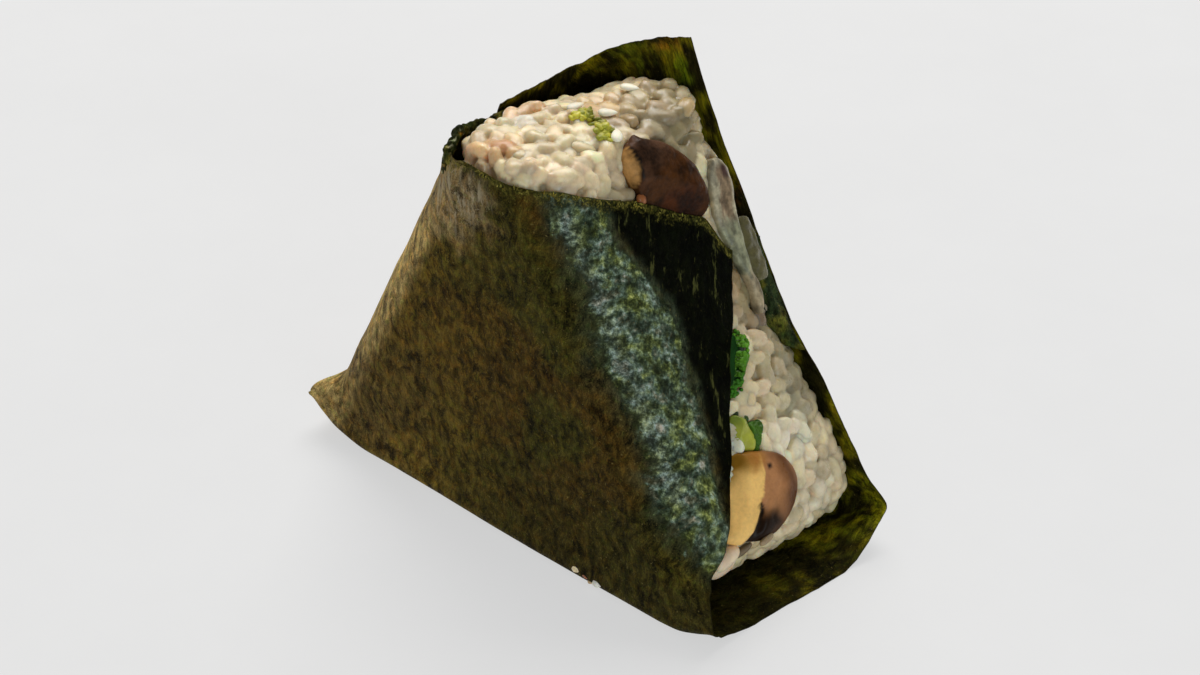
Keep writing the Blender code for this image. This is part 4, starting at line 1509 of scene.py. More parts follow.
@dataclass
class Dome:
    """A rounded filling pressed into the rice: its outline, its height and its colours."""

    name: str
    footprint: Footprint
    cover: Cover
    finish: FoodFinish
    base: Colour
    rise: float
    sink: float
    patches: tuple[Patch, ...] = ()
    rings: int = 26
    steps: int = 110
    fullness: float = 0.62
    dent: float = 0.22 * MM
    dent_cell: float = 4.5 * MM
    wrinkle: float = 0.07 * MM
    wrinkle_cell: float = 1.4 * MM
    steep: float = 1.5
    seed: int = 3
    soften: int = 4
    lean: tuple[float, float] = (0.25, 0.80)

    def form(self, ab: Array, height: Array) -> Array:
        """Heights of the filling's own form; a plain one stays as it is."""
        return height

    def leaned(self, ab: Array, height: Array) -> Array:
        """Places with the areas of colour leaned over by their height."""
        return ab + np.maximum(height, 0.0)[:, None] * np.array(self.lean)

    def build(self) -> Piece:
        """The filling as one closed mesh.

        Returns:
            The finished piece.
        """
        n = self.steps
        _, around = circle(n)
        r = self.footprint.radius(around, self.soften)
        middle = self.footprint.middle
        noise = SoftNoise(self.seed)
        places = [middle[None, :]]
        heights = [np.array([self.rise])]
        for a in np.linspace(0.0, math.pi, 2 * self.rings + 1)[1:-1]:
            places.append(middle + math.sin(a) ** 0.8 * r[:, None] * around)
            c = math.cos(a)
            reach = self.rise if c >= 0.0 else self.sink
            heights.append(np.full(n, reach * math.copysign(abs(c) ** self.fullness, c)))
        ab = np.concatenate(places + [middle[None, :]])
        h = self.form(ab, np.concatenate(heights + [np.array([-self.sink])]))
        flat = np.column_stack([ab, h])
        upper = ease(-0.3 * MM, 0.6 * MM, h)
        h = h + self.dent * upper * noise.layered(flat, self.dent_cell, 2)
        h = h + self.wrinkle * noise.layered(flat, self.wrinkle_cell, 3)
        verts = self.cover.press(self.footprint.lay(ab, h), steep=self.steep)
        end = len(ab) - 1
        faces = [f for j, k in zip(range(n), [*range(1, n), 0])
                 for f in ((0, 1 + j, 1 + k), (end, end - n + k, end - n + j))]
        faces += [(1 + a, 1 + d, 1 + c, 1 + b)
                  for a, b, c, d in tube_faces(2 * self.rings - 1, n)[:-2]]
        leaned = self.leaned(ab, h)
        tone = painted(self.base, len(ab),
                       ((patch.colour, patch.share(leaned, noise)) for patch in self.patches))
        return make_piece(self.name, verts, faces, self.finish.material(), tone=tone)


LOW_FLESH = Patch((
    (-9.6, 1.6), (-6.6, 3.2), (-3.6, 2.6), (-1.8, 1.4), (-0.6, 0.7), (0.3, -0.6), (1.4, -1.2),
    (2.8, -2.6), (3.6, -4.1), (4.3, -6.0), (5.2, -8.5), (4.6, -13.0), (-4.0, -13.0),
    (-10.0, -8.0)), (0.93, 0.57, 0.18), 0.14, 0.12)


class HalvedMushroom(Dome):
    """Mushroom cut in half: smooth flesh in front and the curled skin behind it."""

    GAP_DEPTH = 1.25 * MM
    GAP_PLACE = 0.75 * MM
    GAP_WIDTH = 0.65 * MM
    FLAT_FROM = 1.6 * MM

    def form(self, ab: Array, height: Array) -> Array:
        """Flat flesh, and a narrow gap between it and the skin on the lower side.

        Args:
            ab: places down the slope and back.
            height: height of each place.

        Returns:
            The new heights.
        """
        inside = LOW_FLESH.inside(self.leaned(ab, height))
        above = height > 0.0
        gap = bell(inside + self.GAP_PLACE, self.GAP_WIDTH) * ease(-0.3 * MM, 1.2 * MM, ab[:, 0])
        height = height - above * self.GAP_DEPTH * gap
        flat = above * ease(0.0, 1.0 * MM, inside)
        return height - flat * 0.10 * np.maximum(height - self.FLAT_FROM, 0.0)


TOP_CUT = Patch(((-9.6, -9.2), (-9.3, -5.8), (-7.9, -5.0), (-5.6, -4.5), (-4.2, -4.8), (-3.0, -5.6),
                 (-2.9, -8.4), (-5.4, -9.4)), (0.32, 0.165, 0.052), 0.14, 0.2)


class MushroomCap(Dome):
    """Dark cap with one cut side that shows paler flesh."""

    STEP = 0.55 * MM

    def form(self, ab: Array, height: Array) -> Array:
        """The cut side steps down from the skin."""
        inside = TOP_CUT.inside(self.leaned(ab, height))
        return height - (height > 0.0) * self.STEP * ease(-0.1 * MM, 0.35 * MM, inside)


@dataclass
class StalkStrip:
    """Long fibrous strip of mushroom stalk that lies down the slope."""

    footprint: Footprint
    cover: Cover
    line: tuple[Triple, ...] = (
        (-11.9, 1.1, 0.5), (-11.2, 1.4, 1.5), (-9.4, 1.6, 2.5), (-7.2, 1.1, 2.6), (-5.0, 0.3, 2.6),
        (-3.1, -0.4, 2.5), (-0.5, -0.75, 2.05), (2.4, -0.7, 1.65), (5.3, -0.8, 1.2),
        (7.8, -0.6, 0.85), (9.8, -0.2, 1.0), (11.9, -0.5, 1.05), (14.0, -1.2, 0.8),
        (14.6, -1.4, 0.4),
    )
    rise: float = 1.0 * MM
    sink: float = 1.6 * MM
    hollow: float = 0.30 * MM
    fibres: float = 0.13 * MM
    dents: float = 0.18 * MM
    lengths: int = 150
    sides: int = 40
    seed: int = 41
    rim: Colour = (0.37, 0.325, 0.215)
    core: Colour = (0.275, 0.185, 0.105)
    knot: Colour = (0.055, 0.022, 0.020)
    lower: Colour = (0.245, 0.245, 0.150)
    tail: Colour = (0.30, 0.24, 0.145)

    def build(self) -> Piece:
        """The strip as one closed mesh.

        Returns:
            The finished piece.
        """
        line = np.array(self.line) * MM
        t = np.linspace(line[0, 0], line[-1, 0], self.lengths)
        middle, half = (smoothed(np.interp(t, line[:, 0], line[:, i]), 6) for i in (1, 2))
        noise = SoftNoise(self.seed)
        _, around = circle(self.sides)
        across, c = around.T
        a, middle, half = t[:, None], middle[:, None], half[:, None]
        ab = np.stack([a + 0.0 * across, middle + half * across], axis=2).reshape(-1, 2)
        reach = np.where(c >= 0.0, self.rise, self.sink) * np.minimum(1.0, half / (0.9 * MM)) ** 0.5
        hollow = self.hollow * bell(across, 0.5) * (a < 1.0 * MM)
        h = (reach * np.sign(c) * np.abs(c) ** 0.7 - hollow * (c > 0.0)).ravel()
        fibre = np.column_stack([0.18 * ab[:, 0], ab[:, 1], h])
        h = h + self.fibres * noise.layered(fibre, 0.8 * MM, 3)
        h = h + self.dents * noise.layered(np.column_stack([ab, h]), 3.0 * MM, 2)
        verts = self.cover.press(self.footprint.lay(ab, h))
        off = ((ab[:, 1] - np.repeat(middle, self.sides)) / np.repeat(half, self.sides))
        return make_piece("mushroom_stalk_strip", verts, tube_faces(self.lengths, self.sides),
                          STALK_FINISH.material(), tone=self._tones(ab, off, noise))

    def _tones(self, ab: Array, across: Array, noise: SoftNoise) -> Array:
        """Pale rim, speckled brown core with a dark knot, and a greenish lower end.

        Args:
            ab: places down the slope and back.
            across: places across the strip, -1 to 1.
            noise: source of the unevenness.

        Returns:
            A colour for each place.
        """
        a = ab[:, 0] / MM
        flat = np.column_stack([0.3 * ab[:, 0], ab[:, 1], np.zeros(len(ab))])
        streak = noise.layered(flat, 0.5 * MM, 3)
        core = fade(0.40, 0.70, np.abs(across - 0.05) + 0.12 * streak)
        core = core * ease(-11.2, -9.8, a) * fade(-3.4, -0.8, a + streak)
        knot = np.hypot((a + 9.3) / 1.5, (across - 0.35) / 0.42)
        tone = painted(self.rim, len(ab), (
            (self.core, 0.9 * core), (self.lower, ease(-3.0, 0.0, a + streak)),
            (self.tail, ease(6.5, 9.5, a + streak)), (self.knot, 0.9 * fade(0.5, 1.1, knot))))
        return tone * (1.0 + 0.38 * np.clip(1.35 * streak, -1.0, 1.0))[:, None]


class Pile:
    """Collects small forms of one kind into one mesh."""

    def __init__(self) -> None:
        """Starts an empty pile."""
        self._verts: list[Array] = []
        self._tones: list[Array] = []
        self._faces: Faces = []
        self._count = 0

    def put(self, points: Array, faces: Iterable[Sequence[int]], colour: Array) -> None:
        """One more form, with one colour or one for each point.

        Args:
            points: its points.
            faces: its faces.
            colour: one colour, or one for each point.
        """
        self._verts.append(points)
        self._faces += [tuple(i + self._count for i in f) for f in faces]
        self._tones.append(np.broadcast_to(np.asarray(colour, float), points.shape))
        self._count += len(points)

    def joined(self) -> tuple[Array, Faces, Array]:
        """All points, faces and colours."""
        return np.concatenate(self._verts), self._faces, np.concatenate(self._tones)

    def build(self, name: str, finish: FoodFinish, cover: Cover | None = None) -> Piece:
        """The pile as one piece, held under the nori if its cover is given.

        Args:
            name: its name.
            finish: its finish.
            cover: where the nori lies.

        Returns:
            The finished piece.
        """
        verts, faces, tone = self.joined()
        if cover is not None:
            verts = cover.press(verts)
        return make_piece(name, verts, faces, finish.material(), tone=tone)


@dataclass
class Floret:
    """Head of broccoli buds that shows beside the nori's edge."""

    footprint: Footprint
    cover: Cover
    buds: int = 330
    bud: tuple[float, float] = (0.30 * MM, 0.52 * MM)
    rise: float = 1.9 * MM
    seed: int = 51
    green: Colour = (0.050, 0.200, 0.012)
    bright: Colour = (0.120, 0.330, 0.020)
    # Painted shade: the very dark base under the buds stands for the shade between them.
    painted_shade: Colour = (0.006, 0.040, 0.004)

    def build(self) -> Piece:
        """All the buds, painted darker underneath, over a dark base that stands for the shade
        between them, as one mesh.

        Returns:
            The finished piece.
        """
        rng = np.random.default_rng(self.seed)
        noise = SoftNoise(self.seed)
        pile = Pile()
        ball, faces = ball_form(2)
        angle, around = circle(180)
        reach = self.footprint.radius(around)
        middle = self.footprint.middle
        turn = np.arctan2(ball[:, 1], ball[:, 0]) % TURN
        ab = middle + 0.88 * np.interp(turn, angle, reach)[:, None] * ball[:, :2]
        h = np.where(ball[:, 2] > 0.0, 0.6 * self.rise, 1.3 * MM) * ball[:, 2]
        pile.put(self.footprint.lay(ab, h), faces, self.painted_shade)
        bead, bead_faces = ball_form(1)
        green, bright = np.array(self.green), np.array(self.bright)
        for _ in range(self.buds):
            a = rng.uniform(0.0, TURN)
            share = math.sqrt(rng.uniform(0.0, 1.0))
            ab = middle + share * np.interp(a, angle, reach) * np.array([math.cos(a), math.sin(a)])
            lump = float(noise.layered(np.append(ab, 0.0)[None, :], 2.6 * MM, 2)[0])
            h = self.rise * math.sqrt(max(0.0, 1.0 - share ** 2.4)) * (0.80 + 0.38 * lump)
            size = rng.uniform(*self.bud) * rng.uniform(0.85, 1.15, 3)
            centre = self.footprint.lay(ab[None, :], np.array([h - 0.1 * MM]))
            light = np.clip(0.45 + 0.9 * lump + rng.normal(0.0, 0.22), 0.0, 1.0)
            # Painted shade: each bud is painted darker on its underside.
            underside_shade = np.clip(0.5 + 0.5 * bead[:, 2:3], 0.35, 1.0)
            pile.put(centre + (bead * size) @ self.footprint.axes, bead_faces,
                     (green + light * (bright - green)) * underside_shade)
        return pile.build("broccoli_floret_buds", BUD_FINISH, self.cover)


@dataclass
class GrainBatch:
    """Rice grains lying on the block, each with its place, axes, half sizes and colour."""

    centres: Array
    axes: Array
    halves: Array
    tints: Array
    bends: Array

    def forms(self, ball: Array) -> Array:
        """Points of every grain, grain by grain, from those of a unit ball.

        Args:
            ball: points of the ball.

        Returns:
            Points by grain.
        """
        p = np.repeat(ball[None, :, :], len(self.centres), axis=0)
        x = p[:, :, 0]
        p[:, :, 1] = p[:, :, 1] * (1.0 - 0.12 * x) + self.bends[:, None] * (x ** 2 - 0.4)
        p = np.sign(p) * np.abs(p) ** 0.80
        p = p * self.halves[:, None, :]
        return np.einsum("gki,gij->gkj", p, self.axes) + self.centres[:, None, :]

    def closeness(self, p: Array) -> tuple[Array, Array]:
        """Number of the nearest grain of each point, and how much nearer it is than the next.

        Args:
            p: points in the block's coordinates.

        Returns:
            The two numbers for each point.
        """
        tree = tree_of(self.centres)
        near = np.array([[hit[1] for hit in tree.find_n(q, 5)] for q in p])
        offset = p[:, None, :] - self.centres[near]
        local = np.einsum("pkij,pkj->pki", self.axes[near], offset) / self.halves[near]
        size = np.linalg.norm(local, axis=2)
        order = np.argsort(size, axis=1)
        rows = np.arange(len(p))
        first, second = size[rows, order[:, 0]], size[rows, order[:, 1]]
        return near[rows, order[:, 0]], second - first


@dataclass
class RiceHeap:
    """Cooked grains pressed into the block, fused where they stick together."""

    block: PressedBlock
    cover: Cover
    spacing: float = 2.15 * MM
    tries: int = 60000
    half: Triple = (2.20 * MM, 1.40 * MM, 1.22 * MM)
    sink: tuple[float, float] = (0.55 * MM, 1.10 * MM)
    lump: float = 0.50 * MM
    lump_cell: float = 7.0 * MM
    core_inset: float = 1.30 * MM
    mush: float = 0.07 * MM
    voxel: float = 0.30 * MM
    soften: int = 3
    most_faces: int = 185000
    seed: int = 7
    plain: Colour = (0.78, 0.655, 0.435)
    crease_shade: Colour = (0.50, 0.37, 0.20)
    notch_height: Row = (
        0.006, 0.012, 0.017, 0.025, 0.0295, 0.0315, 0.034, 0.038, 0.046, 0.056, 0.065, 0.069,
        0.0725)
    notch_depth: Row = (
        -0.0002, 0.0, 0.0003, 0.0009, 0.0010, 0.0018, 0.0028, 0.0030, 0.0030, 0.0036, 0.0026,
        0.0014, 0.0007)
    ledge: float = 3.6 * MM
    rim: float = 1.8 * MM
    foot: float = 1.9 * MM
    floor_gap: float = 2.4 * MM
    filling_gap: float = 1.1 * MM
    tilt: float = 0.26
    # Some spots are painted shade: the dim brown ones at the back of the top, right of the middle,
    # and the brown ones beside the stalk strip's lower end. The darkest ones by the back panel on
    # the right slope make the rice there nearly as dark as the nori.
    spots: tuple[Spot, ...] = (
        Spot((-0.0050, 0.0040, 0.0712), 0.0060, (0.86, 0.52, 0.27), 0.75),
        Spot((-0.0024, 0.0062, 0.0716), 0.0040, (0.66, 0.36, 0.15), 0.8),
        Spot((-0.0067, 0.0141, 0.0714), 0.0028, (0.92, 0.90, 0.82), 0.9),
        Spot((-0.0100, 0.0180, 0.0708), 0.0050, (0.84, 0.50, 0.28), 0.6),
        Spot((-0.0004, 0.0262, 0.0716), 0.0070, (0.58, 0.37, 0.17), 0.8),
        Spot((0.0085, 0.0300, 0.0710), 0.0095, (0.26, 0.205, 0.105), 0.85),
        Spot((0.0025, 0.0345, 0.0714), 0.0065, (0.33, 0.245, 0.125), 0.7),
        Spot((0.0079, 0.0363, 0.0705), 0.0050, (0.42, 0.32, 0.17), 0.8),
        Spot((0.0107, 0.0357, 0.0672), 0.0060, (0.22, 0.17, 0.08), 0.85),
        Spot((0.0080, 0.0300, 0.0710), 0.0040, (0.58, 0.49, 0.34), 0.6),
        Spot((0.0223, 0.0341, 0.0473), 0.0050, (0.24, 0.17, 0.08), 0.85),
        Spot((0.0243, 0.0327, 0.0439), 0.0045, (0.34, 0.24, 0.11), 0.8),
        Spot((0.0268, 0.0325, 0.0395), 0.0045, (0.46, 0.36, 0.20), 0.75),
        Spot((0.0275, 0.0370, 0.0375), 0.0045, (0.10, 0.07, 0.05), 0.9),
        Spot((0.0295, 0.0370, 0.0345), 0.0045, (0.30, 0.25, 0.14), 0.8),
        Spot((0.0340, 0.0372, 0.0262), 0.0050, (0.42, 0.36, 0.24), 0.75),
        Spot((0.0339, 0.0353, 0.0272), 0.0030, (0.34, 0.30, 0.22), 0.5),
        Spot((0.0310, 0.0320, 0.0325), 0.0050, (0.44, 0.37, 0.23), 0.6),
        Spot((0.0330, 0.0380, 0.0250), 0.0060, (0.20, 0.18, 0.10), 0.8),
        Spot((0.0300, 0.0385, 0.0300), 0.0050, (0.14, 0.13, 0.07), 0.85),
        Spot((0.0095, 0.0220, 0.0700), 0.0060, (0.66, 0.50, 0.30), 0.6),
        Spot((0.0110, 0.0330, 0.0665), 0.0060, (0.34, 0.27, 0.15), 0.8),
        Spot((0.0130, 0.0180, 0.0640), 0.0040, (0.30, 0.22, 0.12), 0.6),
        Spot((0.0020, 0.0405, 0.0705), 0.0055, (0.42, 0.35, 0.20), 0.6),
        Spot((0.0262, 0.0330, 0.0410), 0.0050, (0.36, 0.28, 0.15), 0.7),
        Spot((0.0400, 0.0377, 0.0167), 0.0045, (0.58, 0.48, 0.32), 0.7),
        Spot((0.0372, 0.0320, 0.0215), 0.0075, (0.80, 0.75, 0.60), 0.8),
        Spot((0.0416, 0.0330, 0.0110), 0.0060, (0.80, 0.73, 0.58), 0.7),
        Spot((0.0425, 0.0120, 0.0095), 0.0040, (0.62, 0.48, 0.34), 0.6),
        Spot((0.0425, 0.0181, 0.0085), 0.0035, (0.34, 0.28, 0.15), 0.7),
    )

    def recess(self, p: Array) -> Array:
        """How far the rice is pressed in at the back, the left rim and the lower right.

        Args:
            p: points on the block's surface.

        Returns:
            A depth for each point.
        """
        x, y, z = p.T
        depth = np.interp(z, self.notch_height, self.notch_depth)
        share = np.clip((y - 0.031) / 0.0090, 0.0, 1.2) ** 1.5
        depth = depth * share * ease(0.25, 0.75, self.block.outward(p)[:, 0])
        ledge = self.ledge * ease(0.017, 0.035, y) * fade(-0.013, 0.004, x)
        rim = self.rim * fade(-0.0135, -0.0090, x)
        foot = self.foot * fade(0.011, 0.026, y) * fade(0.006, 0.014, z)
        return (depth + ease(0.058, 0.066, z) * np.maximum(ledge, rim)
                + foot * ease(0.025, 0.035, x))

    def bare_places(self, taken: Array, rng: np.random.Generator) -> Array:
        """Well spread places that neither nori nor a filling covers.

        Args:
            taken: points under the fillings.
            rng: source of the random draws.

        Returns:
            Points on the block's surface.
        """
        found = self.block.outline_from(unit(rng.normal(size=(self.tries, 3))))
        found = found[(found[:, 2] > self.floor_gap) & (found[:, 1] < self.block.back - 0.5 * MM)]
        found = found[self.cover.bare(found) > -0.1 * MM]
        pressed = tree_of(taken)
        found = found[np.array([pressed.find(q)[2] for q in found]) > self.filling_gap]
        keep = np.ones(len(found), bool)
        for i in range(len(found)):
            if keep[i]:
                close = np.sum((found[i + 1:] - found[i]) ** 2, axis=1) < self.spacing ** 2
                keep[i + 1:] &= ~close
        return found[keep]

    def lay_grains(self, places: Array, rng: np.random.Generator) -> GrainBatch:
        """Grains on some places, each turned and tilted its own way.

        Args:
            places: points on the block's surface.
            rng: source of the random draws.

        Returns:
            The grains.
        """
        count = len(places)
        n = self.block.outward(places)
        side = np.where(np.abs(n[:, 1:2]) > 0.9, [[1.0, 0.0, 0.0]], [[0.0, 1.0, 0.0]])
        a = unit(np.cross(side, n))
        spin = rng.uniform(0.0, math.pi, count)[:, None]
        tilt = rng.normal(0.0, self.tilt, count)[:, None]
        long = a * np.cos(spin) + np.cross(n, a) * np.sin(spin)
        wide = np.cross(n, long)
        long = long * np.cos(tilt) + n * np.sin(tilt)
        size = rng.uniform(0.88, 1.10, (count, 1)) * rng.uniform(0.92, 1.08, (count, 3))
        sink = rng.uniform(*self.sink, count) + self.recess(places)
        sink = sink + self.lump * SoftNoise(self.seed).layered(places, self.lump_cell, 2)
        tints = self.colours(places) * rng.uniform(0.80, 1.13, (count, 1))
        tints = np.clip(tints * (1.0 + rng.uniform(-0.03, 0.03, (count, 3))), 0.0, 0.93)
        axes = np.stack([long, wide, np.cross(long, wide)], axis=1)
        return GrainBatch(places - n * sink[:, None], axes, np.array(self.half) * size, tints,
                          rng.uniform(0.02, 0.2, count))

    def colours(self, p: Array) -> Array:
        """Colour of the rice by place, with stains and, in some spots, painted shade."""
        return painted(self.plain, len(p), (
            (s.colour, s.strength * near_place(p, s.place, s.reach)) for s in self.spots))

    def build(self, taken: Array) -> Piece:
        """The whole heap as one closed mesh, clear of the points under the fillings.

        Args:
            taken: points under the fillings.

        Returns:
            The finished piece.
        """
        rng = np.random.default_rng(self.seed)
        grains = self.lay_grains(self.bare_places(taken, rng), rng)
        count = len(grains.centres)
        LOG.info("rice: %d grains", count)
        ball, ball_faces = ball_form(2)
        core, core_faces = self._core()
        starts = len(core) + len(ball) * np.arange(count)
        faces = np.array(ball_faces)[None, :, :] + starts[:, None, None]
        verts = np.concatenate([core, grains.forms(ball).reshape(-1, 3)])
        material = RICE_FINISH.material()
        piece = make_piece("rice_grains", verts, core_faces + faces.reshape(-1, 3).tolist(),
                           material)
        remesh = piece.modifiers.new("stick together", "REMESH")
        remesh.mode = "VOXEL"
        remesh.voxel_size = self.voxel
        settle(piece)
        soften = piece.modifiers.new("soften", "SMOOTH")
        soften.factor = 0.5
        soften.iterations = self.soften
        thin = piece.modifiers.new("thin out", "DECIMATE")
        thin.ratio = min(1.0, self.most_faces / (2.0 * len(piece.data.polygons)))
        settle(piece)
        p = points_of(piece)
        noise = SoftNoise(self.seed + 4)
        uneven = 1.3 * noise.layered(p, 2.4 * MM, 2) + noise.layered(p + 0.2, 0.95 * MM, 2)
        p = p + self.block.outward(p) * (self.mush * uneven)[:, None]
        p = self.cover.press(p, 0.15 * MM, 1.6)
        mesh = piece.data
        mesh.vertices.foreach_set("co", (p - ORIGIN).ravel())
        owner, lead = grains.closeness(p)
        # Painted shade: the rice is darker where two grains meet, and darker still where its
        # surface lies deeper than the pressed block and its recesses.
        tone = painted(grains.tints[owner], 1, ((self.crease_shade, 0.30 * fade(0.0, 0.22, lead)),))
        tone = tone * (1.0 + 0.15 * noise.layered(p, 5.0 * MM, 3))[:, None]
        tone = np.clip(tone * [[1.0, 0.99, 0.95]], 0.0, 0.95)
        depth = -self.block.distance(p) - self.recess(p)
        painted_shade = 0.6 * ease(0.5 * MM, 2.0 * MM, depth)
        store(piece, "tone", painted(tone, 1, ((self.crease_shade, painted_shade),)))
        mesh.polygons.foreach_set("use_smooth", [True] * len(mesh.polygons))
        mesh.materials.clear()
        mesh.materials.append(material)
        mesh.update()
        return piece

    def _core(self) -> tuple[Array, Faces]:
        """Rounded core under the grains, as points and faces.

        Returns:
            Points and faces.
        """
        ball, faces = ball_form(6)
        p = self.block.outline_from(unit(ball))
        return p - self.block.outward(p) * (self.core_inset + self.recess(p))[:, None], faces


class Ground:
    """The finished food surface, for small things to lie on."""

    def __init__(self, block: PressedBlock, pieces: Sequence[Piece]) -> None:
        """Gathers the surfaces of the pieces that things may lie on.

        Args:
            block: the rice's form.
            pieces: what things may lie on.
        """
        self.block = block
        pile = Pile()
        for piece in pieces:
            pile.put(points_of(piece), (f.vertices for f in piece.data.polygons), 0.0)
        verts, faces, _ = pile.joined()
        self._tree = BVHTree.FromPolygons(verts.tolist(), faces)

    def under(self, place: Sequence[float]) -> tuple[Array, Array]:
        """Where something dropped at a place comes to lie, and axes down, back and outward.

        Args:
            place: point near the surface.

        Returns:
            The point on the food, and the axes.
        """
        foot, axes = self.block.patch_frame(place)
        start = foot + 6.0 * MM * axes[2]
        hit = self._tree.ray_cast(Vector(start), Vector(-axes[2]), 14.0 * MM)[0]
        return (foot if hit is None else np.array(hit)), axes


def turned(axes: Array, spin: float, tilt: float = 0.0) -> Array:
    """Axes spun about the outward one and tilted.

    Args:
        axes: rows that point down the slope, back and outward.
        spin: turn about the last row.
        tilt: lift of the first row.

    Returns:
        The turned rows.
    """
    long = math.cos(spin) * axes[0] + math.sin(spin) * axes[1]
    wide = np.cross(axes[2], long)
    long = math.cos(tilt) * long + math.sin(tilt) * axes[2]
    return np.array([long, wide, np.cross(long, wide)])


def lump(rng: np.random.Generator, half: Array) -> tuple[Array, Faces]:
    """Small uneven lump as points and faces.

    Args:
        rng: source of the random draws.
        half: half its size along each axis.

    Returns:
        Points and faces.
    """
    ball, faces = ball_form(2)
    noise = SoftNoise(int(rng.integers(1, 1000)))
    return ball * (1.0 + 0.28 * noise.layered(ball, 0.9, 2))[:, None] * half, faces


@dataclass
class Trimmings:
    """Sesame seeds, loose grains, chopped herb and crumbs."""

    ground: Ground
    heap: RiceHeap
    seed: int = 71
    seat: float = 0.35 * MM
    seed_half: Triple = (1.62 * MM, 0.92 * MM, 0.48 * MM)
    seed_tone: Colour = (0.94, 0.87, 0.68)
    seeds: tuple[tuple[float, float, float, float], ...] = (
        (0.0023, 0.0250, 0.0716, 0.85), (0.0075, 0.0213, 0.0703, 2.30),
        (-0.0008, 0.0338, 0.0716, 0.50), (-0.0031, 0.0233, 0.0716, 1.40),
    )
    herb: tuple[tuple[float, float, float, float, int], ...] = (
        (0.0002, 0.0218, 0.0716, 1.9 * MM, 34), (0.0056, 0.0200, 0.0709, 1.6 * MM, 22),
        (0.0030, 0.0214, 0.0716, 1.6 * MM, 9),
    )
    bits: tuple[tuple[float, float, float, Triple, Colour], ...] = (
        (0.0132, 0.0203, 0.0620, (1.25 * MM, 0.85 * MM, 0.6 * MM), (0.26, 0.085, 0.022)),
        (0.0425, 0.0152, 0.0102, (0.6 * MM, 0.4 * MM, 0.3 * MM), (0.48, 0.16, 0.10)),
        (0.0262, 0.0372, 0.0398, (0.5 * MM, 0.35 * MM, 0.2 * MM), (0.40, 0.36, 0.24)),
        (0.0330, 0.0222, 0.0288, (0.7 * MM, 0.4 * MM, 0.3 * MM), (0.020, 0.035, 0.008)),
        (0.0338, 0.0236, 0.0274, (0.6 * MM, 0.4 * MM, 0.3 * MM), (0.030, 0.070, 0.010)),
    )
    fallen: tuple[tuple[Triple, Triple, Colour], ...] = (
        ((0.0184, -0.0003, 0.0024), (1.2, 0.55, 0.75), (0.86, 0.70, 0.42)),
        ((0.0206, -0.0003, 0.0019), (0.8, 0.45, 0.55), (0.34, 0.12, 0.05)),
        ((0.0231, -0.0003, 0.0017), (1.1, 0.60, 0.70), (0.90, 0.86, 0.76)),
        ((0.0216, -0.0003, 0.0011), (0.5, 0.35, 0.35), (0.60, 0.42, 0.22)),
    )
    foot_grains: tuple[tuple[float, float, float, float, Triple, Colour], ...] = (
        (0.0430, 0.0096, 0.0112, 1.90, (2.8, 1.45, 1.30), (0.83, 0.63, 0.44)),
        (0.0443, 0.0088, 0.0089, 1.90, (2.7, 1.35, 1.15), (0.80, 0.57, 0.39)),
        (0.0436, 0.0140, 0.0100, 1.75, (2.3, 0.75, 0.60), (0.17, 0.12, 0.060)),
        (0.0427, 0.0172, 0.0115, 1.75, (1.6, 0.65, 0.50), (0.30, 0.22, 0.120)),
        (0.0349, 0.0194, 0.0251, 0.30, (1.9, 1.00, 0.90), (0.95, 0.82, 0.58)),
    )
    herb_light: Colour = (0.56, 0.50, 0.05)
    herb_dark: Colour = (0.22, 0.25, 0.015)

    def sesame(self) -> Piece:
        """Flat drop-shaped seeds on the top.

        Returns:
            The finished piece.
        """
        pile = Pile()
        drop, faces = ball_form(3)
        drop[:, 1:] *= (1.0 - 0.34 * drop[:, :1])
        for x, y, z, spin in self.seeds:
            foot, axes = self.ground.under((x, y, z))
            p = (drop * self.seed_half) @ turned(axes, spin)
            pile.put(p + foot + self.seat * axes[2], faces, self.seed_tone)
        return pile.build("sesame_seeds", SEED_FINISH)

    def chopped_herb(self) -> Piece:
        """Yellow-green crumbs in two small heaps on the top.

        Returns:
            The finished piece.
        """
        rng = np.random.default_rng(self.seed)
        pile = Pile()
        for x, y, z, spread, count in self.herb:
            for _ in range(count):
                dx, dy = rng.normal(0.0, 0.5 * spread, 2)
                foot, axes = self.ground.under((x + dx, y + 1.2 * dy, z))
                half = rng.uniform(0.45, 0.95) * MM * np.array([1.0, rng.uniform(0.6, 0.95), 0.5])
                points, faces = lump(rng, half)
                points = points @ turned(axes, rng.uniform(0.0, 3.1), rng.normal(0.0, 0.5))
                shade = rng.uniform(0.0, 1.0)
                tone = np.array(self.herb_light) * shade + np.array(self.herb_dark) * (1.0 - shade)
                pile.put(points + foot + 0.25 * half[2] * axes[2], faces, tone)
        return pile.build("chopped_greens", CRUMB_FINISH)

    def small_bits(self) -> Piece:
        """Orange, pink, white and dark bits beside the fillings and along the front edge.

        Returns:
            The finished piece.
        """
        rng = np.random.default_rng(self.seed + 1)
        pile = Pile()
        for x, y, z, half, colour in self.bits:
            foot, axes = self.ground.under((x, y, z))
            points, faces = lump(rng, np.array(half))
            pile.put(points @ turned(axes, rng.uniform(0.0, 3.1)) + foot, faces, colour)
        for place, half, colour in self.fallen:
            points, faces = lump(rng, np.array(half) * MM)
            pile.put(points + np.array(place), faces, colour)
        return pile.build("small_bits", CRUMB_FINISH)

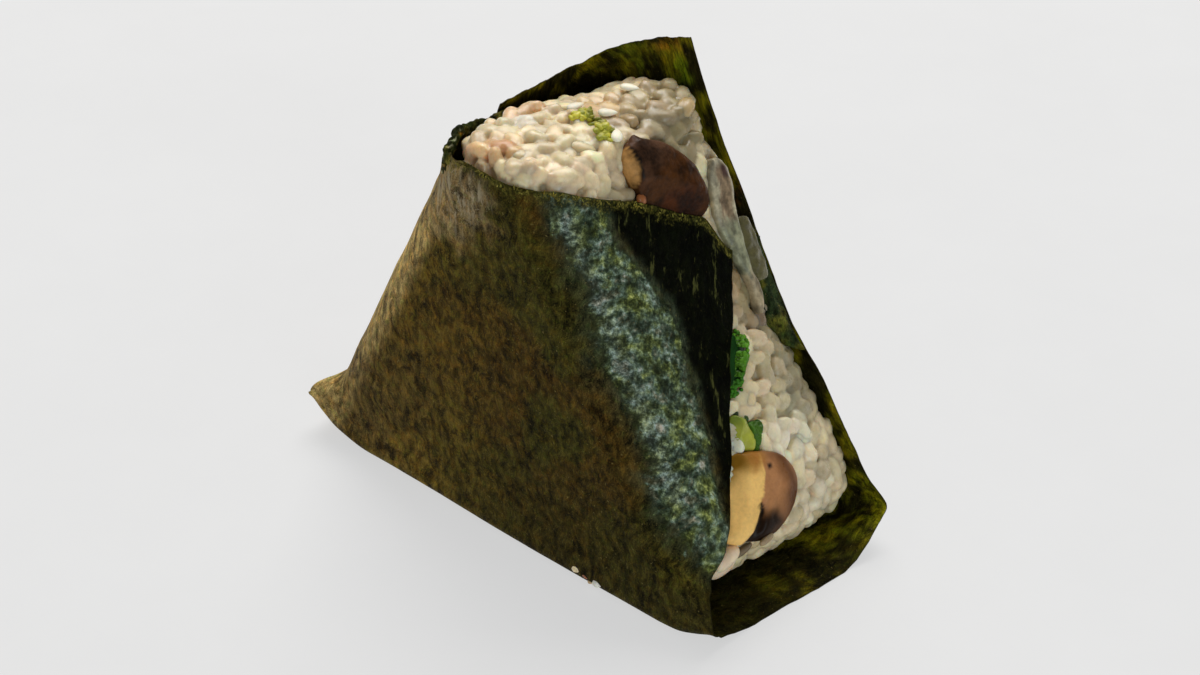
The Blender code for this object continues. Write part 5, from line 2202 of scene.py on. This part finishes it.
    def loose_grains(self, taken: Array) -> Piece:
        """Whole grains that lie on the pressed ones, clear of the fillings' points.

        Args:
            taken: points under the fillings.

        Returns:
            The finished piece.
        """
        rng = np.random.default_rng(self.seed + 2)
        cover = self.heap.cover
        wide = RiceHeap(self.heap.block, cover, spacing=8.2 * MM, tries=3000,
                        half=(2.15 * MM, 1.25 * MM, 1.12 * MM), sink=(0.55 * MM, 1.0 * MM))
        places = wide.bare_places(taken, rng)
        grains = wide.lay_grains(places[cover.bare(places) > 2.4 * MM], rng)
        tints = np.clip(grains.tints * [1.12, 1.04, 0.90], 0.0, 0.95)
        ball, faces = ball_form(3)
        pile = Pile()
        for points, tint in zip(grains.forms(ball), tints):
            pile.put(points, faces, tint)
        form = np.sign(ball) * np.abs(ball) ** 0.86
        for x, y, z, spin, half, tint in self.foot_grains:
            foot, axes = self.ground.under((x, y, z))
            points = (form * np.array(half) * MM) @ turned(axes, spin, 0.08)
            pile.put(points + foot + self.seat * axes[2], faces, tint)
        return pile.build("loose_rice_grains", RICE_FINISH, cover)


@dataclass
class NoriTears:
    """Crumpled roll of nori at the torn corner, and the curl of its back edge over the rice."""

    strip: NoriStrip
    finish: NoriFinish
    path: tuple[Triple, ...] = (
        (0.20, 1.000, 0.35), (0.22, 1.000, 0.7), (0.25, 1.000, 0.9), (0.28, 1.000, 0.9),
        (0.31, 1.000, 1.05), (0.34, 1.000, 1.15), (0.37, 0.995, 1.2), (0.39, 0.980, 1.1),
        (0.385, 0.955, 1.1), (0.365, 0.930, 0.9), (0.35, 0.910, 0.4),
    )
    lengths: int = 190
    sides: int = 44
    curl_from: float = 0.0305
    curl_to: float = 0.0480
    curl_wide: float = 5.8 * MM
    curl_thick: float = 0.3 * MM
    curl_drop: float = 0.9 * MM
    curl_arch: float = 0.5 * MM
    seed: int = 91

    def roll(self) -> Piece:
        """The crumpled roll as one closed tube.

        Returns:
            The finished piece.
        """
        noise = SoftNoise(self.seed)
        path = np.array(self.path)
        k = np.linspace(0.0, len(path) - 1.0, self.lengths)
        u, t, r = (np.interp(k, np.arange(len(path)), path[:, i]) for i in range(3))
        line = smoothed(np.array([self.strip.spot(Run.FRONT, *at, 0.0003) for at in zip(u, t)]), 8)
        along = unit(np.gradient(line, axis=0))
        across = unit(np.cross(along, self.strip.block.outward(line)))
        out = np.cross(across, along)
        _, around = circle(self.sides)
        ring = (around[None, :, :1] * across[:, None, :]
                + 0.75 * around[None, :, 1:] * out[:, None, :])
        p = (line[:, None, :] + ring * (r * MM)[:, None, None]).reshape(-1, 3)
        fold = 0.42 * noise.layered(p, 2.6 * MM, 2) + 0.40 * noise.layered(p + 0.7, 1.0 * MM, 2)
        p = p + ring.reshape(-1, 3) * (fold * np.repeat(r, self.sides) * MM)[:, None]
        tone = painted((0.020, 0.024, 0.0055), len(p), (
            (self.finish.fuzz, ease(0.1, 0.8, noise.layered(p + 0.3, 1.5 * MM, 3))),
            ((0.36, 0.19, 0.03), ease(0.55, 0.9, noise.layered(p + 0.5, 1.2 * MM, 2))),
            ((0.34, 0.32, 0.20), 0.8 * ease(0.55, 0.9, noise.layered(p + 0.9, 0.9 * MM, 2)))))
        return self._dress("nori_crumpled_corner", p, tube_faces(self.lengths, self.sides), tone)

    def curl(self) -> Piece:
        """The back panel's edge where it turns forward over the rice, as a thin closed sheet.

        Returns:
            The finished piece.
        """
        noise = SoftNoise(self.seed + 1)
        block = self.strip.block
        rows, columns = 70, 26
        z, t = (v.ravel() for v in np.meshgrid(
            np.linspace(0.0, 1.0, rows), np.linspace(0.0, 1.0, columns), indexing="ij"))
        place = np.column_stack([z, t, np.zeros(len(z))])
        wide = self.curl_wide * np.sin(math.pi * np.clip(z, 0.01, 0.99)) ** 0.6
        wide = wide + 0.5 * MM * noise.layered(place, 0.10, 3)
        height = self.curl_from + z * (self.curl_to - self.curl_from)
        y = block.back + 0.35 * MM - t * np.maximum(wide, 0.3 * MM)
        n = block.normal_right
        edge = self.strip.right_edge(height)
        depth = self.curl_drop * t ** 2 - self.curl_arch * np.sin(math.pi * t)
        slack = block.reach_right - (edge * n[0] + height * n[1])
        depth = depth - 0.55 * slack * t + 0.25 * MM * noise.layered(place + 0.4, 0.22, 2)
        top = np.column_stack([edge - n[0] * depth, y, height - n[1] * depth])
        p = np.concatenate([top, top - np.array([n[0], 0.0, n[1]]) * self.curl_thick])
        tone = painted((0.022, 0.034, 0.012), len(p), (
            ((0.075, 0.075, 0.012), ease(0.0, 0.8, noise.layered(p, 3.0 * MM, 3))),))
        return self._dress("nori_edge_curl", p, sheet_faces(rows, columns), tone)

    def shreds(self) -> Piece:
        """Short yellowish fibres along the front top edge.

        Returns:
            The finished piece.
        """
        rng = np.random.default_rng(self.seed + 2)
        pile = Pile()
        ball, faces = ball_form(2)
        for u in rng.uniform(0.40, 0.90, 130):
            foot = self.strip.spot(Run.FRONT, u, rng.uniform(0.988, 1.004), 0.0005)
            n = self.strip.block.outward(foot[None, :])[0]
            long = unit(np.cross(n, rng.normal(size=3)) + 0.5 * rng.normal(size=3))
            wide = unit(np.cross(n, long))
            half = np.array([rng.uniform(0.18, 0.45), rng.uniform(0.08, 0.16), 0.08]) * MM
            points = (ball * half) @ np.array([long, wide, np.cross(long, wide)]) + foot
            pile.put(points, faces, np.array(self.finish.fuzz) * rng.uniform(0.35, 1.7))
        return self._dress("nori_edge_fibres", *pile.joined())

    def _dress(self, name: str, p: Array, faces: Faces, tone: Array) -> Piece:
        """Piece with the sheet's finish.

        Args:
            name: the piece's name.
            p: points in the block's coordinates.
            faces: corner indices of each face.
            tone: a colour for each point.

        Returns:
            The finished piece.
        """
        p[:, 2] = np.minimum(p[:, 2], HIGHEST)
        x, y, z = p.T
        return make_piece(name, p, faces, self.finish.material(), tone=tone,
                          sheet_place=np.column_stack([x + y, z + y, x]), zone=np.zeros(p.shape))


class Studio:
    """Pale floor, soft lights and the camera at the photograph's angle."""

    azimuth: float = math.radians(42.5)
    elevation: float = math.radians(33.0)
    distance: float = 0.468
    target: Triple = (0.008, 0.017, 0.035)
    lens: float = 85.0
    sensor: float = 36.0

    def build(self) -> None:
        """Makes everything round the food."""
        self._floor()
        self._area("key", (-0.55, 0.62, 1.20), (1.2, 1.0), 21.0, (1.0, 0.985, 0.96))
        self._area("window", (0.86, -0.42, 0.30), (0.50, 0.34), 2.4, (0.80, 0.93, 1.0))
        world = bpy.data.worlds.new("room")
        world.use_nodes = True
        Graph(world.node_tree).feed(world.node_tree.nodes["Background"],
                                    Color=(1.0, 1.0, 1.0, 1.0), Strength=0.25)
        scene = bpy.context.scene
        scene.world = world
        scene.view_settings.view_transform = "Standard"
        scene.camera = self._camera()

    def _floor(self) -> None:
        """A wide pale floor, which isn't part of the object."""
        made, g, shader = new_material("pale_floor")
        mottle = Group.use(g, soft_mottle, Place=g.add("TexCoord").outputs["Object"],
                           Colour=(0.22, 0.22, 0.22, 1.0), Patch_Scale=18.0, Speck_Scale=90.0,
                           Patch_Depth=0.02, Speck_Depth=0.012)
        g.feed(shader, Base_Color=mottle.outputs["Colour"], Roughness=0.9,
               Specular_IOR_Level=0.0, Emission_Color=(1.0, 1.0, 1.0, 1.0),
               Emission_Strength=0.575)
        bm = bmesh.new()
        bmesh.ops.create_grid(bm, x_segments=1, y_segments=1, size=2.5)
        mesh = bpy.data.meshes.new("floor")
        bm.to_mesh(mesh)
        bm.free()
        mesh.materials.append(made)
        self._put("floor", mesh, (0.0, 0.0, -0.05 * MM))

    def _put(self, name: str, data: bpy.types.ID, place: Sequence[float],
             aim: Vector | None = None) -> Piece:
        """One object at a place, facing along a direction if one is given.

        Args:
            name: its name.
            data: its light, camera or mesh.
            place: where it stands.
            aim: the direction.

        Returns:
            The new object.
        """
        made = bpy.data.objects.new(name, data)
        made.location = place
        if aim is not None:
            made.rotation_mode = "QUATERNION"
            made.rotation_quaternion = aim.to_track_quat("-Z", "Y")
        bpy.context.scene.collection.objects.link(made)
        return made

    def _area(self, name: str, place: Sequence[float], size: tuple[float, float], power: float,
              colour: Colour) -> None:
        """One soft light that faces the food.

        Args:
            name: its name.
            place: where it stands.
            size: its two sides in metres.
            power: its power in watts.
            colour: its colour.
        """
        lamp = bpy.data.lights.new(name, "AREA")
        lamp.shape = "RECTANGLE"
        lamp.size, lamp.size_y = size
        lamp.energy = power
        lamp.color = colour
        self._put(name, lamp, place, Vector((0.0, 0.0, 0.035)) - Vector(place))

    def _camera(self) -> Piece:
        """Camera at the photograph's viewing angle.

        Returns:
            The new camera.
        """
        a, e = self.azimuth, self.elevation
        back = Vector((math.sin(a) * math.cos(e), -math.cos(a) * math.cos(e), math.sin(e)))
        lens = bpy.data.cameras.new("camera")
        lens.lens = self.lens
        lens.sensor_width = self.sensor
        lens.clip_start = 0.01
        place = Vector(np.array(self.target) - ORIGIN) + back * self.distance
        return self._put("camera", lens, place, -back)


def own(piece: Piece, slot: str, *nodes: str) -> Piece:
    """Put a piece on the part.

    Args:
        piece: mesh object.
        slot: the record's material slot for it.
        nodes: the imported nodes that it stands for.

    Returns:
        The same piece.
    """
    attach(piece, BODY)
    if nodes:
        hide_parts(*nodes)
    LOG.info("%s: %d faces, slot %s, for %s", piece.name, len(piece.data.polygons), slot,
             ", ".join(nodes) or "itself")
    return piece


TOP_MUSHROOM = (0.0139, 0.0274, 0.0614)
TOP_OUTLINE = (
    (-8.1, -8.2), (-9.6, -6.1), (-10.3, -4.0), (-9.1, -2.2), (-8.0, 0.3), (-6.4, 2.0), (-4.0, 4.0),
    (-2.0, 5.4), (-0.3, 5.9), (1.3, 5.9), (2.8, 6.1), (4.7, 5.6), (6.6, 4.4), (6.9, 1.6),
    (5.2, -2.0), (2.6, -5.4), (-1.5, -7.4), (-4.1, -7.9), (-6.2, -8.4),
)
LOW_MUSHROOM = (0.0402, 0.0207, 0.0160)
LOW_OUTLINE = (
    (-8.9, -4.2), (-9.1, -2.2), (-8.2, 0.9), (-7.2, 3.0), (-6.2, 5.0), (-4.6, 7.0), (-2.4, 8.0),
    (-0.5, 8.1), (1.5, 7.4), (3.4, 5.5), (4.6, 3.4), (5.5, 0.9), (6.0, -1.4), (5.9, -3.2),
    (5.2, -5.3), (4.7, -7.3), (3.9, -9.4), (2.3, -11.2), (-2.0, -11.2), (-6.5, -8.5),
)
FLORET = (0.0296, 0.0262, 0.0347)
FLORET_OUTLINE = ((-6.8, 0.2), (-5.3, 2.4), (-3.4, 3.7), (-1.8, 3.8), (0.3, 1.9), (2.5, -0.4),
                  (4.2, -0.8), (4.5, -2.6), (3.5, -4.7), (-1.0, -5.0), (-5.8, -3.2))
STEM = (0.0349, 0.0223, 0.0256)
STEM_OUTLINE = ((-3.9, -1.1), (-2.8, 0.5), (-1.0, 0.8), (1.0, 1.3), (2.4, 0.9), (3.2, 0.1),
                (1.9, -2.8), (-0.3, -2.6), (-2.3, -2.3))
LEAF_OUTLINE = ((-1.4, 1.0), (-0.8, 4.0), (0.4, 4.0), (1.5, 2.5), (3.8, 1.0), (3.4, 0.0),
                (1.2, 0.4))
STRIP = (0.0196, 0.0366, 0.0520)
SLICE_OUTLINE = ((-1.4, 1.6), (-0.6, 4.6), (1.6, 5.0), (4.2, 4.9), (8.3, 4.6), (10.2, 4.0),
                 (9.9, 1.0), (6.8, 0.0), (3.8, 0.2))
# The third patch is painted shadow where the nori's edge passes in front of the cap; the fourth is
# a painted shadow line along the step at the cut's edge.
CAP_PATCHES = (
    Patch(((-12, -9), (-12, 4), (-6, 4), (-3.5, -1), (-3.0, -5)), (0.062, 0.028, 0.014), 1.8, 0.8),
    Patch(((1.5, -2.0), (1.0, 4.8), (4.5, 5.4), (6.6, 4.0), (6.8, 1.0), (4.5, -2.5)),
          (0.048, 0.0125, 0.0022), 1.2, 0.8),
    Patch(((2.6, -6), (3.2, -3.0), (6.0, 0.6), (9, 4), (9, -6)), (0.008, 0.004, 0.002), 0.9, 0.4),
    Patch(((-9.0, -5.4), (-8.9, -4.9), (-6, -4.0), (-3.5, -4.3), (-2.7, -5.2), (-4, -4.9)),
          (0.012, 0.008, 0.006), 0.3),
    TOP_CUT)
# The sixth patch is painted shadow in the narrow gap between the flesh and the skin.
HALF_PATCHES = (
    Patch(((-8.5, 3.2), (-6, 9), (6, 9), (8, -3), (5.2, -2.0), (3.8, 3.2), (0.0, 6.4), (-4.5, 5.6)),
          (0.115, 0.042, 0.013), 1.9),
    Patch(((2.0, -1.8), (2.6, 2.4), (5.0, 2.8), (7.0, -4), (7.0, -8), (4.4, -7.4)),
          (0.014, 0.0055, 0.0014), 1.3),
    LOW_FLESH,
    Patch(((-10, -6), (-10, 3.4), (-6.2, 3.4), (-5.4, 0), (-5.0, -3), (-6.8, -6)),
          (0.25, 0.118, 0.008), 2.0, 0.6),
    Patch(((-5, 3.0), (-9, 3.6), (-9, 0.6), (-4.6, 0.6)), (0.36, 0.150, 0.030), 1.4, 0.5),
    Patch(((0.5, -1.3), (0.3, -0.2), (1.6, -0.4), (3.2, -2.0), (4.2, -4.2), (5.4, -7.5), (4.8, -8),
           (3.6, -4.4), (2.6, -2.7), (1.3, -1.3)), (0.014, 0.008, 0.005), 0.22),
    Patch(((-4.6, 3.7), (-4.4, 4.6), (-3.7, 4.4), (-3.8, 3.6)), (0.016, 0.010, 0.010), 0.3, 0.1))
STEM_PATCHES = (Patch(((-5, -3), (-5, 2), (-1.5, 2), (-1.8, -3)), (0.20, 0.26, 0.030), 1.2),)


def main() -> None:
    """Builds the food, dresses it and sets up the studio."""
    logging.basicConfig(level=logging.INFO, format="%(message)s")
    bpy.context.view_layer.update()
    block = PressedBlock()
    strip = NoriStrip(block)
    nori = NoriFinish()
    cover = Cover(strip)
    own(strip.build(nori), "nori", "nori_wrap")
    tears = NoriTears(strip, nori)
    for build in (tears.roll, tears.curl, tears.shreds):
        own(build(), "nori")

    top, low, florets, stems, leaf, slices = prints = [
        Footprint(block, place, outline) for place, outline in (
            (TOP_MUSHROOM, TOP_OUTLINE), (LOW_MUSHROOM, LOW_OUTLINE), (FLORET, FLORET_OUTLINE),
            (STEM, STEM_OUTLINE), (STEM, LEAF_OUTLINE), (STRIP, SLICE_OUTLINE))]
    stalk = StalkStrip(slices, cover)
    cap = MushroomCap("mushroom_top_cap", top, cover, CAP_FINISH, (0.048, 0.0165, 0.0038),
                      3.1 * MM, 2.2 * MM, CAP_PATCHES, wrinkle=0.12 * MM, steep=0.75, seed=5)
    half = HalvedMushroom("mushroom_lower_half", low, cover, FLESH_FINISH, (0.46, 0.21, 0.085),
                          3.0 * MM, 2.4 * MM, HALF_PATCHES, rings=32, steps=150, seed=9)
    stem = Dome("broccoli_stem_piece", stems, cover, STEM_FINISH, (0.40, 0.42, 0.050),
                1.7 * MM, 1.4 * MM, STEM_PATCHES, dent=0.3 * MM, dent_cell=2.2 * MM)
    leaf_piece = Dome("broccoli_leaf", leaf, cover, BUD_FINISH, (0.060, 0.150, 0.014),
                      1.5 * MM, 1.2 * MM, dent=0.6 * MM, dent_cell=1.1 * MM, wrinkle=0.2 * MM,
                      wrinkle_cell=0.6 * MM)
    olive = Dome("greens_slice_piece", slices, cover, SLICE_FINISH, (0.100, 0.088, 0.034),
                 0.5 * MM, 1.2 * MM, dent=0.3 * MM, dent_cell=2.0 * MM)
    pieces = [own(made.build(), *names) for made, *names in (
        (cap, "mushroom_cap", "mushroom_top"), (half, "mushroom_flesh", "mushroom_lower"),
        (Floret(florets, cover), "broccoli", "broccoli_floret"),
        (stem, "broccoli_stem", "broccoli_stem"), (leaf_piece, "broccoli"),
        (stalk, "mushroom_stalk", "mushroom_strip"), (olive, "greens", "greens_slice"))]
    line = np.array(stalk.line)[1:-1, :2] * MM
    taken = np.concatenate([f.samples(1.0 * MM) for f in prints]
                           + [slices.lay(line, np.zeros(len(line)))])
    heap = RiceHeap(block, cover)
    pieces.append(own(heap.build(taken), "rice", "rice"))
    trimmings = Trimmings(Ground(block, pieces), heap)
    own(trimmings.sesame(), "rice")
    own(trimmings.chopped_herb(), "greens")
    own(trimmings.small_bits(), "mushroom_flesh")
    own(trimmings.loose_grains(taken), "rice")

    Studio().build()


if __name__ == "__main__":
    main()
